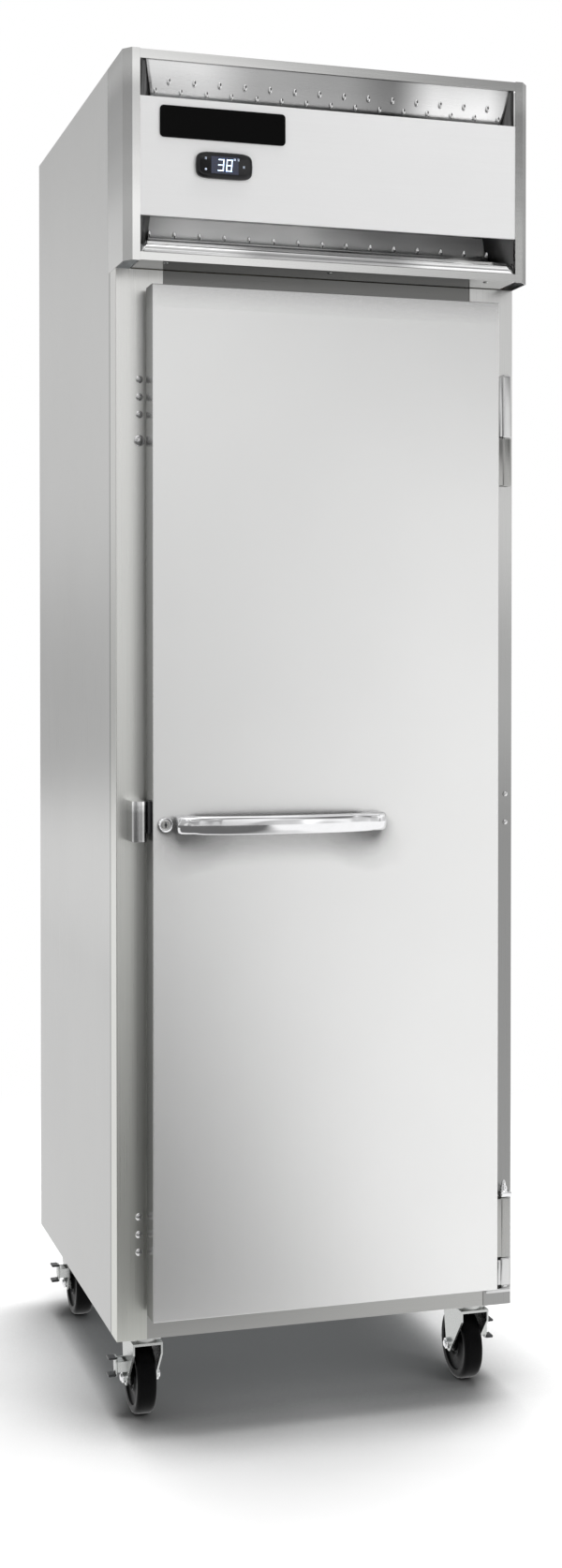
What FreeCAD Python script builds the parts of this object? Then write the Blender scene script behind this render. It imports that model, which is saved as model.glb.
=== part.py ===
import FreeCAD
import Part
import Sketcher
import os

doc = FreeCAD.newDocument("reach_in_refrigerator")
sheet = doc.addObject("Spreadsheet::Sheet", "dims")
Vec = FreeCAD.Vector


class Size:
    """A length that carries both its number and the sheet expression it comes from."""

    def __init__(self, text, value):
        self.text = text
        self.value = value

    def __add__(self, other):
        other = size(other)
        return Size(f"({self.text} + {other.text})", self.value + other.value)

    def __sub__(self, other):
        other = size(other)
        return Size(f"({self.text} - {other.text})", self.value - other.value)

    def __mul__(self, factor):
        return Size(f"({self.text} * {factor})", self.value * factor)

    def __neg__(self):
        return Size(f"(0 - {self.text})", -self.value)


def size(value):
    return value if isinstance(value, Size) else Size(f"{value}", float(value))


def dim(alias, value):
    """Put one driving dimension in the sheet and return it."""
    dim.row += 1
    sheet.set(f"A{dim.row}", alias)
    sheet.set(f"B{dim.row}", f"{value}")
    sheet.setAlias(f"B{dim.row}", alias)
    return Size(f"dims.{alias}", float(value))


dim.row = 0

# Driving dimensions in millimetres. X is across, the door faces -Y, Z is up from the floor.
half_width = dim("half_width", 330.2)
front = dim("frame_front", -289)
back = dim("cabinet_back", 394)
skirt = dim("skirt_height", 142)
pan_z = dim("base_pan_height", 152)
deck_z = dim("deck_height", 1803)
top_z = dim("cabinet_top", 2122)
skin = dim("skin", 1.5)
wall = dim("wall", 57)
stile_width = dim("stile_width", 75)
stile_foot_width = dim("stile_foot_width", 48)
stile_return = dim("stile_return", 40)
seam = dim("header_seam", 55)
rail_set_back = dim("rail_set_back", 1.5)
sill_height = dim("sill_height", 74)
ceiling = dim("ceiling_thickness", 58)
chamfer_start = dim("header_projection", 53.4)
chamfer_depth = dim("header_chamfer_depth", 14.3)
chamfer_width = dim("header_chamfer_width", 12.2)
flange = dim("header_flange", 12)
panel_low = dim("panel_low", 1872)
panel_high = dim("panel_high", 2051)
door_half = dim("door_half_width", 284.5)
door_low = dim("door_low", 184)
door_high = dim("door_high", 1772)
door_back_gap = dim("gasket_depth", 12)
door_depth = dim("door_depth", 41.4)
hinge_x = dim("hinge_axis_across", 304.5)
hinge_out = dim("hinge_axis_out", 30)
pin_radius = dim("pin_radius", 4)
running_gap = dim("running_gap", 0.05)
handle_z = dim("handle_height", 948)
lock_x = dim("lock_across", -264.9)
lock_z = dim("lock_height", 948.3)
wheel_radius = dim("wheel_radius", 58)
wheel_width = dim("wheel_width", 36)
caster_x = dim("caster_across", 276)
caster_front = dim("caster_front", -238)
caster_rear = dim("caster_rear", 326)
caster_lead = dim("caster_lead", 28)
axle_radius = dim("axle_radius", 6)

inner = half_width - wall
liner_front = front + 60
liner_back = back - wall
floor_z = pan_z + 52
ceiling_z = deck_z - ceiling
header_front = front - chamfer_start - chamfer_depth
door_back = front - door_back_gap
door_front = door_back - door_depth


def bind(obj, prop, value):
    obj.setExpression(prop, size(value).text)


def place(obj, x, y, z):
    for axis, value in (("x", x), ("y", y), ("z", z)):
        bind(obj, f"Placement.Base.{axis}", value)


def box(xs, ys, zs):
    """A block between three pairs of limits."""
    obj = doc.addObject("Part::Box", "block")
    for prop, (low, high) in (("Length", xs), ("Width", ys), ("Height", zs)):
        bind(obj, prop, size(high) - low)
    place(obj, xs[0], ys[0], zs[0])
    return obj


def rod(axis, x, y, z, radius, length, top_radius=None):
    """A cylinder, or a cone when it has a top radius, that starts at x, y, z and runs along axis."""
    if top_radius is None:
        obj = doc.addObject("Part::Cylinder", "rod")
        bind(obj, "Radius", radius)
    else:
        obj = doc.addObject("Part::Cone", "cone")
        bind(obj, "Radius1", radius)
        bind(obj, "Radius2", top_radius)
    bind(obj, "Height", length)
    turn = FreeCAD.Rotation(Vec(0, 0, 1), Vec(*axis))
    obj.Placement = FreeCAD.Placement(Vec(0, 0, 0), turn)
    place(obj, x, y, z)
    return obj


def ball(x, y, z, radius):
    obj = doc.addObject("Part::Sphere", "ball")
    bind(obj, "Radius", radius)
    place(obj, x, y, z)
    return obj


def cut(base, tools):
    obj = doc.addObject("Part::Cut", "cut")
    obj.Base = base
    obj.Tool = tools[0] if len(tools) == 1 else fuse(tools)
    return obj


def fuse(shapes):
    obj = doc.addObject("Part::MultiFuse", "fuse")
    obj.Shapes = shapes
    return obj


def group(shapes):
    obj = doc.addObject("Part::Compound", "group")
    obj.Links = shapes
    return obj


def mirrored(source, normal=(1, 0, 0)):
    obj = doc.addObject("Part::Mirroring", "mirror")
    obj.Source = source
    obj.Normal = Vec(*normal)
    return obj


def rounded(source, radius, pick):
    """Fillet the edges that pick chooses."""
    doc.recompute()
    obj = doc.addObject("Part::Fillet", "fillet")
    obj.Base = source
    chosen = [i for i, edge in enumerate(source.Shape.Edges, 1) if pick(edge)]
    obj.Edges = [(i, radius, radius) for i in chosen]
    return obj


def runs_along(edge, axis, longer=0.0):
    box_ = edge.BoundBox
    spans = {"x": box_.XLength, "y": box_.YLength, "z": box_.ZLength}
    return spans[axis] > longer and all(spans[k] < 0.01 for k in spans if k != axis)


PLANES = {"xy": "XY_Plane", "xz": "XZ_Plane", "yz": "YZ_Plane"}


def profile(plane, points, length, offset):
    """Pad a closed outline, given as pairs of sizes on an origin plane, starting at offset from it."""
    body = doc.addObject("PartDesign::Body", "body")
    sketch = body.newObject("Sketcher::SketchObject", "outline")
    role = PLANES[plane]
    base = [f for f in body.Origin.OriginFeatures if f.Role == role][0]
    sketch.AttachmentSupport = [(base, "")]
    sketch.MapMode = "FlatFace"
    pairs = [(size(u), size(v)) for u, v in points]
    spots = [Vec(u.value, v.value, 0) for u, v in pairs]
    count = len(spots)
    for i in range(count):
        sketch.addGeometry(Part.LineSegment(spots[i], spots[(i + 1) % count]), False)
    for i in range(count):
        sketch.addConstraint(Sketcher.Constraint("Coincident", i, 2, (i + 1) % count, 1))
    for i, pair in enumerate(pairs):
        for kind, value, zero_axis in (("DistanceX", pair[0], -2), ("DistanceY", pair[1], -1)):
            if value.value == 0:
                sketch.addConstraint(Sketcher.Constraint("PointOnObject", i, 1, zero_axis))
            else:
                rule = sketch.addConstraint(Sketcher.Constraint(kind, -1, 1, i, 1, value.value))
                sketch.setExpression(f"Constraints[{rule}]", value.text)
    pad = body.newObject("PartDesign::Pad", "pad")
    pad.Profile = sketch
    bind(pad, "Length", length)
    # The XZ plane's normal points to -Y, so its pad is reversed to grow along +Y like the others.
    pad.Reversed = plane == "xz"
    body.Tip = pad
    shift = {"xy": "z", "xz": "y", "yz": "x"}[plane]
    bind(body, f"Placement.Base.{shift}", offset)
    return body


nodes = []


def node(label, shape):
    """Name a finished piece; the label is also its file name."""
    shape.Label = label
    nodes.append(shape)


# ---------------------------------------------------------------- cabinet shell
def side_panel(sign):
    """Outer side sheet: behind the stile below the header, behind the header above it."""
    outline = [
        (front + stile_return + 0.5, skirt), (back, skirt), (back, top_z),
        (front + seam + 0.5, top_z), (front + seam + 0.5, deck_z), (front + stile_return + 0.5, deck_z),
    ]
    start = half_width - skin if sign > 0 else -half_width
    return profile("yz", outline, skin, start)


node("side_panel_left", side_panel(-1))
node("side_panel_right", side_panel(1))


def stile():
    """Front corner post: an L of sheet with a rolled outer corner, in the +X hand."""
    edge = half_width
    outline = [
        (edge - stile_width, front), (edge, front), (edge, front + stile_return),
        (edge - skin, front + stile_return), (edge - skin, front + skin),
        (edge - stile_width + skin, front + skin), (edge - stile_width + skin, front + 18),
        (edge - stile_width, front + 18),
    ]
    body = profile("xy", outline, deck_z - skirt, skirt)
    at_corner = lambda e: runs_along(e, "z", 100) and e.BoundBox.XMin > 330 and e.BoundBox.YMax < -288.9
    foot_notch = box((edge - stile_width - 1, edge - stile_foot_width), (front - 1, front + 20),
                     (skirt - 1, skirt + sill_height))
    return cut(rounded(body, 1.4, at_corner), [foot_notch])


right_stile = stile()
node("stile_right", right_stile)
node("stile_left", mirrored(right_stile))

opening = half_width - stile_width
sill_half = half_width - stile_foot_width
rail_front = front + rail_set_back
node("front_rails", group([
    box((-sill_half, sill_half), (rail_front, rail_front + skin), (skirt, skirt + sill_height)),
    box((-opening, opening), (rail_front, rail_front + skin), (deck_z - 70, deck_z)),
]))

sheet_in = (-half_width + skin, half_width - skin)
node("back_panel", box(sheet_in, (back - skin, back), (skirt, deck_z - skin)))
node("base_pan", box(sheet_in, (front + 19, back - skin), (pan_z, pan_z + 2.5)))

duct_x = (-70, 70)
duct_y = (150, 300)
node("top_deck", cut(
    box((-half_width + skin, half_width - skin), (front + 20, back), (deck_z - skin, deck_z)),
    [box(duct_x, duct_y, (deck_z - 5, deck_z + 5))],
))
foam_block = box(sheet_in, (front + 20, back - skin), (pan_z + 2.5, deck_z - skin))
foam_room = box((-inner - 1.2, inner + 1.2), (front + 10, liner_back + 1.2),
                (floor_z - 1.2, ceiling_z + 1.2))
foam_duct = box(duct_x, duct_y, (ceiling_z - 5, deck_z + 5))
node("foam_insulation", cut(foam_block, [foam_room, foam_duct]))

# ---------------------------------------------------------------- interior
liner = 1.2
ceiling_sheet = cut(
    box((-inner, inner), (liner_front, liner_back), (ceiling_z, ceiling_z + liner)),
    [box(duct_x, duct_y, (ceiling_z - 5, ceiling_z + 5))],
)
node("interior_liner", group([
    box((-inner - liner, -inner), (liner_front, liner_back), (floor_z, ceiling_z)),
    box((inner, inner + liner), (liner_front, liner_back), (floor_z, ceiling_z)),
    box((-inner - liner, inner + liner), (liner_back, liner_back + liner), (floor_z, ceiling_z)),
    box((-inner, inner), (liner_front, liner_back), (floor_z - liner, floor_z)),
    ceiling_sheet,
]))

strip_in = front + 18.5
node("breaker_strips", group([
    box((-inner - liner, -opening), (strip_in, liner_front - 0.2), (floor_z, ceiling_z)),
    box((opening, inner + liner), (strip_in, liner_front - 0.2), (floor_z, ceiling_z)),
    box((-inner, inner), (strip_in, liner_front - 0.2), (floor_z - liner, floor_z - 0.1)),
    box((-inner, inner), (strip_in, liner_front - 0.2), (ceiling_z + 0.1, ceiling_z + liner)),
]))

shelf_levels = [560, 900, 1240]
clip_height = 12
post_rows = (liner_front + 60, liner_back - 60)


def pilaster(sign, y):
    """Slotted shelf post on a side liner."""
    x0 = inner - 12 if sign > 0 else -inner
    post = box((x0, size(x0) + 12), (y - 9, y + 9), (floor_z + 60, ceiling_z - 60))
    slots = [
        box((size(x0) + (-1 if sign > 0 else 8), size(x0) + (4 if sign > 0 else 13)), (y - 4, y + 4),
            (260 + 50.8 * k, 266 + 50.8 * k))
        for k in range(28)
    ]
    return cut(post, slots)


def clip(sign, y, z):
    """Small bent support that hooks in a post slot and carries a shelf corner."""
    x0, x1 = (inner - 24, inner - 12.1) if sign > 0 else (-inner + 12.1, -inner + 24)
    return box((x0, x1), (y - 8, y + 8), (z - 3.2 - clip_height, z - 3.2))


node("shelf_posts", group([pilaster(s, y) for s in (-1, 1) for y in post_rows]))
node("shelf_clips", group([clip(s, y, z) for z in shelf_levels for s in (-1, 1) for y in post_rows]))

shelf_half = inner - 15.4
shelf_front = liner_front + 25
shelf_back = liner_back - 12


def shelf(z):
    """Wire shelf: a round border, three cross bars under it and a row of thin front-to-back wires."""
    length = shelf_half * 2
    depth = shelf_back - shelf_front
    parts = [rod((1, 0, 0), -shelf_half, y, z, 3, length) for y in (shelf_front, shelf_back)]
    parts += [rod((0, 1, 0), x, shelf_front, z, 3, depth) for x in (-shelf_half, shelf_half)]
    parts += [ball(x, y, z, 3) for x in (-shelf_half, shelf_half) for y in (shelf_front, shelf_back)]
    parts += [rod((1, 0, 0), -shelf_half, shelf_front + 130 * k, z, 2.5, length) for k in (1, 2, 3)]
    pitch = 2 * shelf_half.value / 21
    parts += [
        rod((0, 1, 0), -shelf_half + round(pitch * k, 3), shelf_front, z + 2.4, 1.6, depth)
        for k in range(1, 21)
    ]
    return fuse(parts)


for index, level in enumerate(shelf_levels, 1):
    node(f"wire_shelf_{index}", shelf(level))

node("interior_lamp", rounded(
    box((120, 250), (liner_front + 6, liner_front + 46), (ceiling_z - 28, ceiling_z)),
    8, lambda e: runs_along(e, "x", 50) and e.BoundBox.ZMax < 1720,
))

# ---------------------------------------------------------------- header
def header_side():
    """Side channel of the header with its chamfered front corner, in the +X hand."""
    edge = half_width
    nose = front - chamfer_start
    tip = edge - chamfer_width
    outline = [
        (edge - skin, front + seam), (edge, front + seam), (edge, nose), (tip, header_front),
        (tip - flange, header_front), (tip - flange, header_front + skin),
        (tip - 0.8, header_front + skin), (edge - skin, nose + 0.8),
    ]
    return profile("xy", outline, top_z - deck_z - 0.2, deck_z + 0.2)


rail_half = half_width - chamfer_width - flange - 0.1


def header_rail(z_face0, z_face1, z_sheet0, z_sheet1, depth_to):
    """Narrow front face with a sheet running back from it."""
    face = box((-rail_half, rail_half), (header_front, header_front + skin), (z_face0, z_face1))
    sheet_ = box((-rail_half, rail_half), (header_front, depth_to), (z_sheet0, z_sheet1))
    return fuse([face, sheet_])


right_header = header_side()
node("header_frame", group([
    right_header,
    mirrored(right_header),
    header_rail(top_z - 15, top_z - 1, top_z - 2.5, top_z - 1, front + 20),
    header_rail(deck_z + 1, deck_z + 13, deck_z + 1, deck_z + 2.5, front + 10),
]))
rail_span = (-rail_half, rail_half)
node("header_panel", box(rail_span, (header_front + 1, header_front + 5), (panel_low, panel_high)))


def scoop(outline, slots):
    """Curved air scoop pressed from one sheet, with punched slots."""
    return cut(profile("yz", outline, rail_half * 2, -rail_half), slots)


def slot_row(ys, zs, count, start):
    """Punched slots 5 wide at a pitch of 40."""
    return [box((start + 40 * k, start + 40 * k + 5), ys, zs) for k in range(count)]


upper_points = [
    (8, 4), (9.5, 24), (13, 42), (20, 57), (32, 70), (46, 78), (62, 84),
    (63.2, 82.6), (47.2, 76.5), (33.2, 68.6), (21.4, 56), (14.5, 41.4), (11, 23.8), (10, 4),
]
upper_slot_depth = (header_front + 5, header_front + 45)
node("upper_scoop", scoop(
    [(header_front + out, top_z - down) for out, down in upper_points],
    slot_row(upper_slot_depth, (top_z - 62, top_z - 54), 15, -282)
    + slot_row(upper_slot_depth, (top_z - 48, top_z - 40), 14, -262),
))
lower_points = [
    (2, 14), (10, 29.5), (28, 29.5), (46, 37), (58.5, 54), (63, 70), (64, 84),
    (65.6, 84), (64.6, 69.6), (60, 53), (47, 35.4), (28.4, 28), (11, 28), (3.2, 12.9),
]
node("lower_scoop", scoop(
    [(header_front + out, deck_z + up) for out, up in lower_points],
    slot_row((header_front + 50, header_front + 70), (deck_z + 48, deck_z + 60), 15, -282),
))

node("nameplate", rounded(
    box((-275.5, -77.6), (header_front - 1.5, header_front + 1), (1991, 2039)),
    6, lambda e: runs_along(e, "y", 1),
))
case = rounded(box((-220, -131), (header_front - 6, header_front + 1), (1933, 1973)),
               10, lambda e: runs_along(e, "y", 1))
node("controller_case", case)
node("controller_display", box((-197, -154), (header_front - 6.8, header_front - 6), (1940, 1966)))

# ---------------------------------------------------------------- door
door_frame_x = (-door_half, door_half)
door_shell = box(door_frame_x, (door_front, door_back), (door_low, door_high))
door_room = box((-door_half + skin, door_half - skin), (door_front + skin, door_back + 1),
                (door_low + skin, door_high - skin))
cam_slot = box((-door_half - 1, -door_half + 3), (front - 34, front - 26), (lock_z - 9, lock_z + 34))
lock_bore = rod((0, 1, 0), lock_x, door_front - 1, lock_z, 9.6, 10)
pan = cut(door_shell, [door_room, cam_slot, lock_bore])
node("door_skin", rounded(pan, 1.2, lambda e: (runs_along(e, "z", 1000) or runs_along(e, "x", 500))
                          and abs(e.BoundBox.YMin - door_front.value) < 0.01
                          and abs(e.BoundBox.YMax - door_front.value) < 0.01))
node("door_liner", box((-door_half + skin + 0.2, door_half - skin - 0.2), (door_back - 1.5, door_back),
                       (door_low + skin + 0.2, door_high - skin - 0.2)))
door_fill = box((-door_half + skin, door_half - skin), (door_front + skin, door_back - 1.5),
                (door_low + skin, door_high - skin))
lock_room = box((-door_half, lock_x + 42), (door_front + 0.5, front - 22), (lock_z - 16, lock_z + 46))
node("door_foam", cut(door_fill, [lock_room]))
gasket_block = box((-279, 279), (door_back, front - 0.5), (door_low + 6, door_high - 6))
gasket_room = box((-262, 262), (door_back - 1, front + 1), (door_low + 23, door_high - 23))
node("door_gasket", cut(gasket_block, [gasket_room]))


def bow_handle():
    """Cast handle: two feet on the door and a bowed bar between them."""
    base = door_front
    left, right = -250, 85.6
    outline = [(left, base), (left, base - 22)]
    spans = [(30, 38), (60, 45.5), (100, 49.5), (167.8, 51.6), (235.6, 49.5), (275.6, 45.5), (305.6, 38)]
    outline += [(left + along, base - out) for along, out in spans]
    outline += [(right, base - 22), (right, base), (right - 24, base)]
    inner_spans = [(302, 12), (294, 24), (270, 31), (235, 34.5), (167.8, 36.6), (100.6, 34.5), (65.6, 31),
                   (41.6, 24), (33.6, 12)]
    outline += [(left + along, base - out) for along, out in inner_spans]
    outline += [(left + 24, base)]
    body = profile("xy", outline, 29, handle_z - 14.5)
    outer = lambda e: (abs(e.BoundBox.ZLength) < 0.01 and e.BoundBox.YMax < base.value - 21
                       and e.BoundBox.YMin <= base.value - 37)
    return rounded(body, 5, outer)


node("door_handle", bow_handle())

lock_parts = [
    rod((0, 1, 0), lock_x, door_front - 4, lock_z, 12, 3.9),
    rod((0, 1, 0), lock_x, door_front - 1, lock_z, 9, 28),
    box((lock_x - 7, lock_x + 7), (front - 31.5, front - 28.5), (lock_z - 7, lock_z + 33)),
]
key_slot = box((lock_x - 1.2, lock_x + 1.2), (door_front - 6, door_front + 4), (lock_z - 5, lock_z + 5))
node("door_lock", cut(fuse(lock_parts), [key_slot]))

# ---------------------------------------------------------------- hinges and strike
hinge_y = front - hinge_out


def frame_half(z_low, z_high, pin_low, pin_length):
    """Knuckle block on the stile with its fixed pin standing out of one end."""
    return fuse([
        rod((0, 0, 1), hinge_x, hinge_y, z_low, 8.5, z_high - z_low),
        box((hinge_x - 4, hinge_x + 8.5), (hinge_y, front), (z_low, z_high)),
        box((hinge_x - 10, hinge_x + 22), (front - 3, front), (z_low + 4, z_high - 4)),
        rod((0, 0, 1), hinge_x, hinge_y, pin_low, pin_radius, pin_length),
    ])


def door_half_hinge(z_low, z_high):
    """Knuckle on the door edge, bored to run on the frame half's pin."""
    knuckle = fuse([
        rod((0, 0, 1), hinge_x, hinge_y, z_low, 8.5, z_high - z_low),
        box((door_half, hinge_x), (hinge_y - 8, hinge_y + 4), (z_low, z_high)),
    ])
    bore = rod((0, 0, 1), hinge_x, hinge_y, z_low - 1, pin_radius + running_gap, z_high - z_low + 2)
    return cut(knuckle, [bore])


hinge_toe = box((hinge_x - 34, hinge_x + 12), (hinge_y - 8, front), (176, 181))
hinge_cap = fuse([
    box((hinge_x - 8, hinge_x + 12), (hinge_y - 9, front), (329, 337)),
    rod((0, 0, 1), hinge_x, hinge_y, 337, 7, 8, 5),
    rod((0, 0, 1), hinge_x, hinge_y, 345, 4.5, 11, 2),
])

upper_low, upper_mid, upper_high = size(1481), size(1559), size(1661)
lower_low, lower_mid, lower_high = size(185), size(230), size(328)
node("hinge_frame_halves", group([
    frame_half(upper_mid, upper_high, upper_low + 4, 100),
    fuse([frame_half(lower_low, lower_mid, lower_mid - 10, 90), hinge_toe,
          rod((0, 0, 1), hinge_x, hinge_y, 180, 6, 6)]),
    hinge_cap,
]))
node("hinge_door_halves", group([
    door_half_hinge(upper_low, upper_mid - 0.8),
    door_half_hinge(lower_mid + 0.8, lower_high),
]))

strike_block = box((-313.5, -291), (front - 46, front), (922, 984))
strike_round = rounded(strike_block, 8, lambda e: runs_along(e, "z", 30) and e.BoundBox.YMax < -330)
strike_room = box((-305, -290), (front - 36, front - 24), (lock_z - 10, lock_z + 30))
node("strike", cut(strike_round, [strike_room]))


def dome(x, y, z, radius, rise):
    """Low domed head standing on the front face."""
    return fuse([
        rod((0, -1, 0), x, y, z, radius, rise * 0.45),
        rod((0, -1, 0), x, y - rise * 0.45, z, radius, rise * 0.55, radius * 0.55),
    ])


screw_spots = [(-292.7, z) for z in (1633.4, 1606.2, 1579.3)] + [(-295, z) for z in (334.8, 307, 279.5)]
node("stile_screws", group([dome(x, front, z, 6, 3) for x, z in screw_spots]))
node("plug_buttons", group([
    dome(-292.9, front, 1539.1, 9, 4), dome(318.9, front, 981.6, 4.5, 3), dome(318.9, front, 935.5, 4.5, 3),
]))

# ---------------------------------------------------------------- casters
CORNERS = {
    "front_left": (-1, -1), "front_right": (1, -1), "rear_left": (-1, 1), "rear_right": (1, 1),
}


def caster_spot(side, end):
    x = caster_x * side
    swivel_y = caster_front if end < 0 else caster_rear
    return x, swivel_y, swivel_y - caster_lead * end


def caster_plate(side, end):
    """Top plate with its fixed race and the kingpin that the fork turns on."""
    x, y, _ = caster_spot(side, end)
    return fuse([
        box((x - 46, x + 46), (y - 31, y + 31), (pan_z - 4, pan_z)),
        rod((0, 0, 1), x, y, pan_z - 9, 24, 6, 30),
        rod((0, 0, 1), x, y, pan_z - 20, 6, 16),
    ])


node("caster_plates", group([caster_plate(side, end) for side, end in CORNERS.values()]))

fork_gap = wheel_width * 0.5 + 3
brake_z = wheel_radius + 21


def brake_axis(side):
    """How far the brake's pin stands from the wheel's middle, signed to the outboard side."""
    return (fork_gap + 12.5) * side


def span(first, second, side):
    """Order a pair of limits that is measured to the outboard side."""
    return (first, second) if side > 0 else (second, first)


def fork(side, end):
    """Swivel fork: crown and race, tapered legs, axle with nuts, and outboard brake ears with their pin."""
    x, y, wheel_y = caster_spot(side, end)
    crown = size(124)
    reach = -end
    outline = [
        (y - 30 * reach, crown + 4), (wheel_y + 24 * reach, crown + 4), (wheel_y + 20 * reach, 104),
        (wheel_y + 9 * reach, wheel_radius - 8), (wheel_y + 4 * reach, wheel_radius - 13),
        (wheel_y - 4 * reach, wheel_radius - 13), (wheel_y - 9 * reach, wheel_radius - 8),
        (y - 30 * reach, 110),
    ]
    legs = [profile("yz", outline, 3, x + start) for start in (fork_gap, -fork_gap - 3)]
    crown_y = (y - 30, wheel_y + 24) if end < 0 else (wheel_y - 24, y + 30)
    top = box((x - fork_gap - 3, x + fork_gap + 3), crown_y, (crown, crown + 4))
    race = rod((0, 0, 1), x, y, crown + 3, 27, pan_z - 9.4 - crown - 3)
    axle = rod((1, 0, 0), x - fork_gap - 8, wheel_y, wheel_radius, axle_radius, fork_gap * 2 + 16)
    nuts = [
        rod((1, 0, 0), start, wheel_y, wheel_radius, 9, 5) for start in (x - fork_gap - 8, x + fork_gap + 3)
    ]
    ear_x = span(x + (fork_gap + 2) * side, x + (fork_gap + 18) * side, side)
    ears = [
        box(ear_x, (wheel_y + low, wheel_y + low + 3), (brake_z - 8, brake_z + 8)) for low in (-14.5, 11.5)
    ]
    pin = rod((0, 1, 0), x + brake_axis(side), wheel_y - 14, brake_z, 3, 28)
    kingpin_bore = rod((0, 0, 1), x, y, pan_z - 22, running_gap + 6, 20)
    return cut(fuse(legs + [top, race, axle, pin] + nuts + ears), [kingpin_bore])


def wheel(side, end):
    """Tyre and hub in one moulding, turned about the axle."""
    x, _, wheel_y = caster_spot(side, end)
    half = wheel_width * 0.5
    tread = rod((1, 0, 0), x - half, wheel_y, wheel_radius, wheel_radius, wheel_width)
    edges = rounded(tread, 6, lambda e: e.Closed and e.BoundBox.YLength > 100)
    hollow = []
    for start in (x - half - 1, x + half - 4):
        hollow.append(cut(rod((1, 0, 0), start, wheel_y, wheel_radius, 44, 5),
                          [rod((1, 0, 0), start - 1, wheel_y, wheel_radius, 20, 7)]))
    hub = rod((1, 0, 0), x - half - 1.5, wheel_y, wheel_radius, 14, wheel_width + 3)
    bore = rod((1, 0, 0), x - half - 3, wheel_y, wheel_radius, axle_radius + running_gap, wheel_width + 6)
    return cut(fuse([cut(edges, hollow), hub]), [bore])


def brake(side, end):
    """Two-paddle rocker that turns on the pin between the fork's ears."""
    x, _, wheel_y = caster_spot(side, end)
    axis_x = x + brake_axis(side)
    web = span(axis_x + 4 * side, axis_x + 8 * side, side)
    paddle = span(axis_x + 4 * side, axis_x + 19.5 * side, side)
    parts = [
        rod((0, 1, 0), axis_x, wheel_y - 11, brake_z, 8, 22),
        box(web, (wheel_y - 8, wheel_y + 8), (brake_z - 17, brake_z + 15)),
        box(paddle, (wheel_y - 11, wheel_y + 11), (brake_z + 11, brake_z + 15)),
        box(paddle, (wheel_y - 10, wheel_y + 10), (brake_z - 17, brake_z - 12)),
    ]
    return cut(fuse(parts), [rod((0, 1, 0), axis_x, wheel_y - 12, brake_z, running_gap + 3, 24)])


for name, (side, end) in CORNERS.items():
    node(f"caster_fork_{name}", fork(side, end))
    node(f"caster_wheel_{name}", wheel(side, end))
    node(f"caster_brake_{name}", brake(side, end))

# ---------------------------------------------------------------- machine compartment
gland_x = 275
gland_z = deck_z + 187


def rear_grille():
    """Louvred sheet behind the condensing unit, held off the deck, with the hole for the cord gland."""
    sheet_ = box((-half_width + skin + 0.2, half_width - skin - 0.2), (back - skin, back),
                 (deck_z + 0.2, top_z - 1))
    vents = [
        box((x0, x0 + 150), (back - 5, back + 5), (deck_z + 60 + 22 * k, deck_z + 66 + 22 * k))
        for x0 in (-230, 80) for k in range(9)
    ]
    return cut(sheet_, vents + [rod((0, 1, 0), gland_x, back - 5, gland_z, 12.1, 10)])


node("rear_grille", rear_grille())

comp_x, comp_y = 215, 250
comp_base = deck_z + 14
compressor = [
    rod((0, 0, 1), comp_x, comp_y, comp_base, 78, 110),
    rod((0, 0, 1), comp_x, comp_y, comp_base + 110, 78, 28, 52),
    box((comp_x - 95, comp_x + 95), (comp_y - 60, comp_y + 60), (comp_base, comp_base + 3)),
    box((comp_x - 40, comp_x + 10), (comp_y - 100, comp_y - 60), (comp_base + 30, comp_base + 90)),
]
feet = [
    rod((0, 0, 1), comp_x + dx, comp_y + dy, deck_z, 10, 14.5) for dx in (-80, 80) for dy in (-48, 48)
]
node("compressor", fuse(compressor + feet))

coil_x = (40, 300)
coil_y = (-210, -150)
coil_z = (deck_z + 8, deck_z + 230)


def coil(xs, ys, zs, fin_gap, tube_rows):
    """Finned block: end plates, thin fins and tubes through them."""
    x0, x1 = xs
    fins = [box((x0, x0 + 2), ys, zs), box((x1 - 2, x1), ys, zs)]
    count = int((x1 - x0) / fin_gap)
    fins += [
        box((x0 + fin_gap * k, x0 + fin_gap * k + 1), ys, (zs[0] + 2, zs[1] - 2)) for k in range(1, count)
    ]
    tubes = [
        rod((1, 0, 0), x0 - 4, y, zs[0] + 22 + step * k, 5, x1 - x0 + 8)
        for y, step in tube_rows for k in range(6)
    ]
    return fuse(fins + tubes)


node("condenser_coil", coil(coil_x, coil_y, coil_z, 13, ((-195, 34), (-165, 34))))

fan_x, fan_z = 170, deck_z + 120
shroud_sheet = box((40, 300), (-149, -147.5), (deck_z + 8, deck_z + 230))
shroud_rim = cut(rod((0, 1, 0), fan_x, -147.6, fan_z, 100, 26),
                 [rod((0, 1, 0), fan_x, -150, fan_z, 98.5, 40)])
shroud = cut(fuse([shroud_sheet, shroud_rim]), [rod((0, 1, 0), fan_x, -152, fan_z, 98.5, 20)])
foot = box((60, 280), (-148, -110), (deck_z, deck_z + 2))
foot_riser = box((60, 280), (-149, -147.5), (deck_z, deck_z + 10))
node("condenser_shroud", fuse([shroud, foot, foot_riser]))


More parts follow.
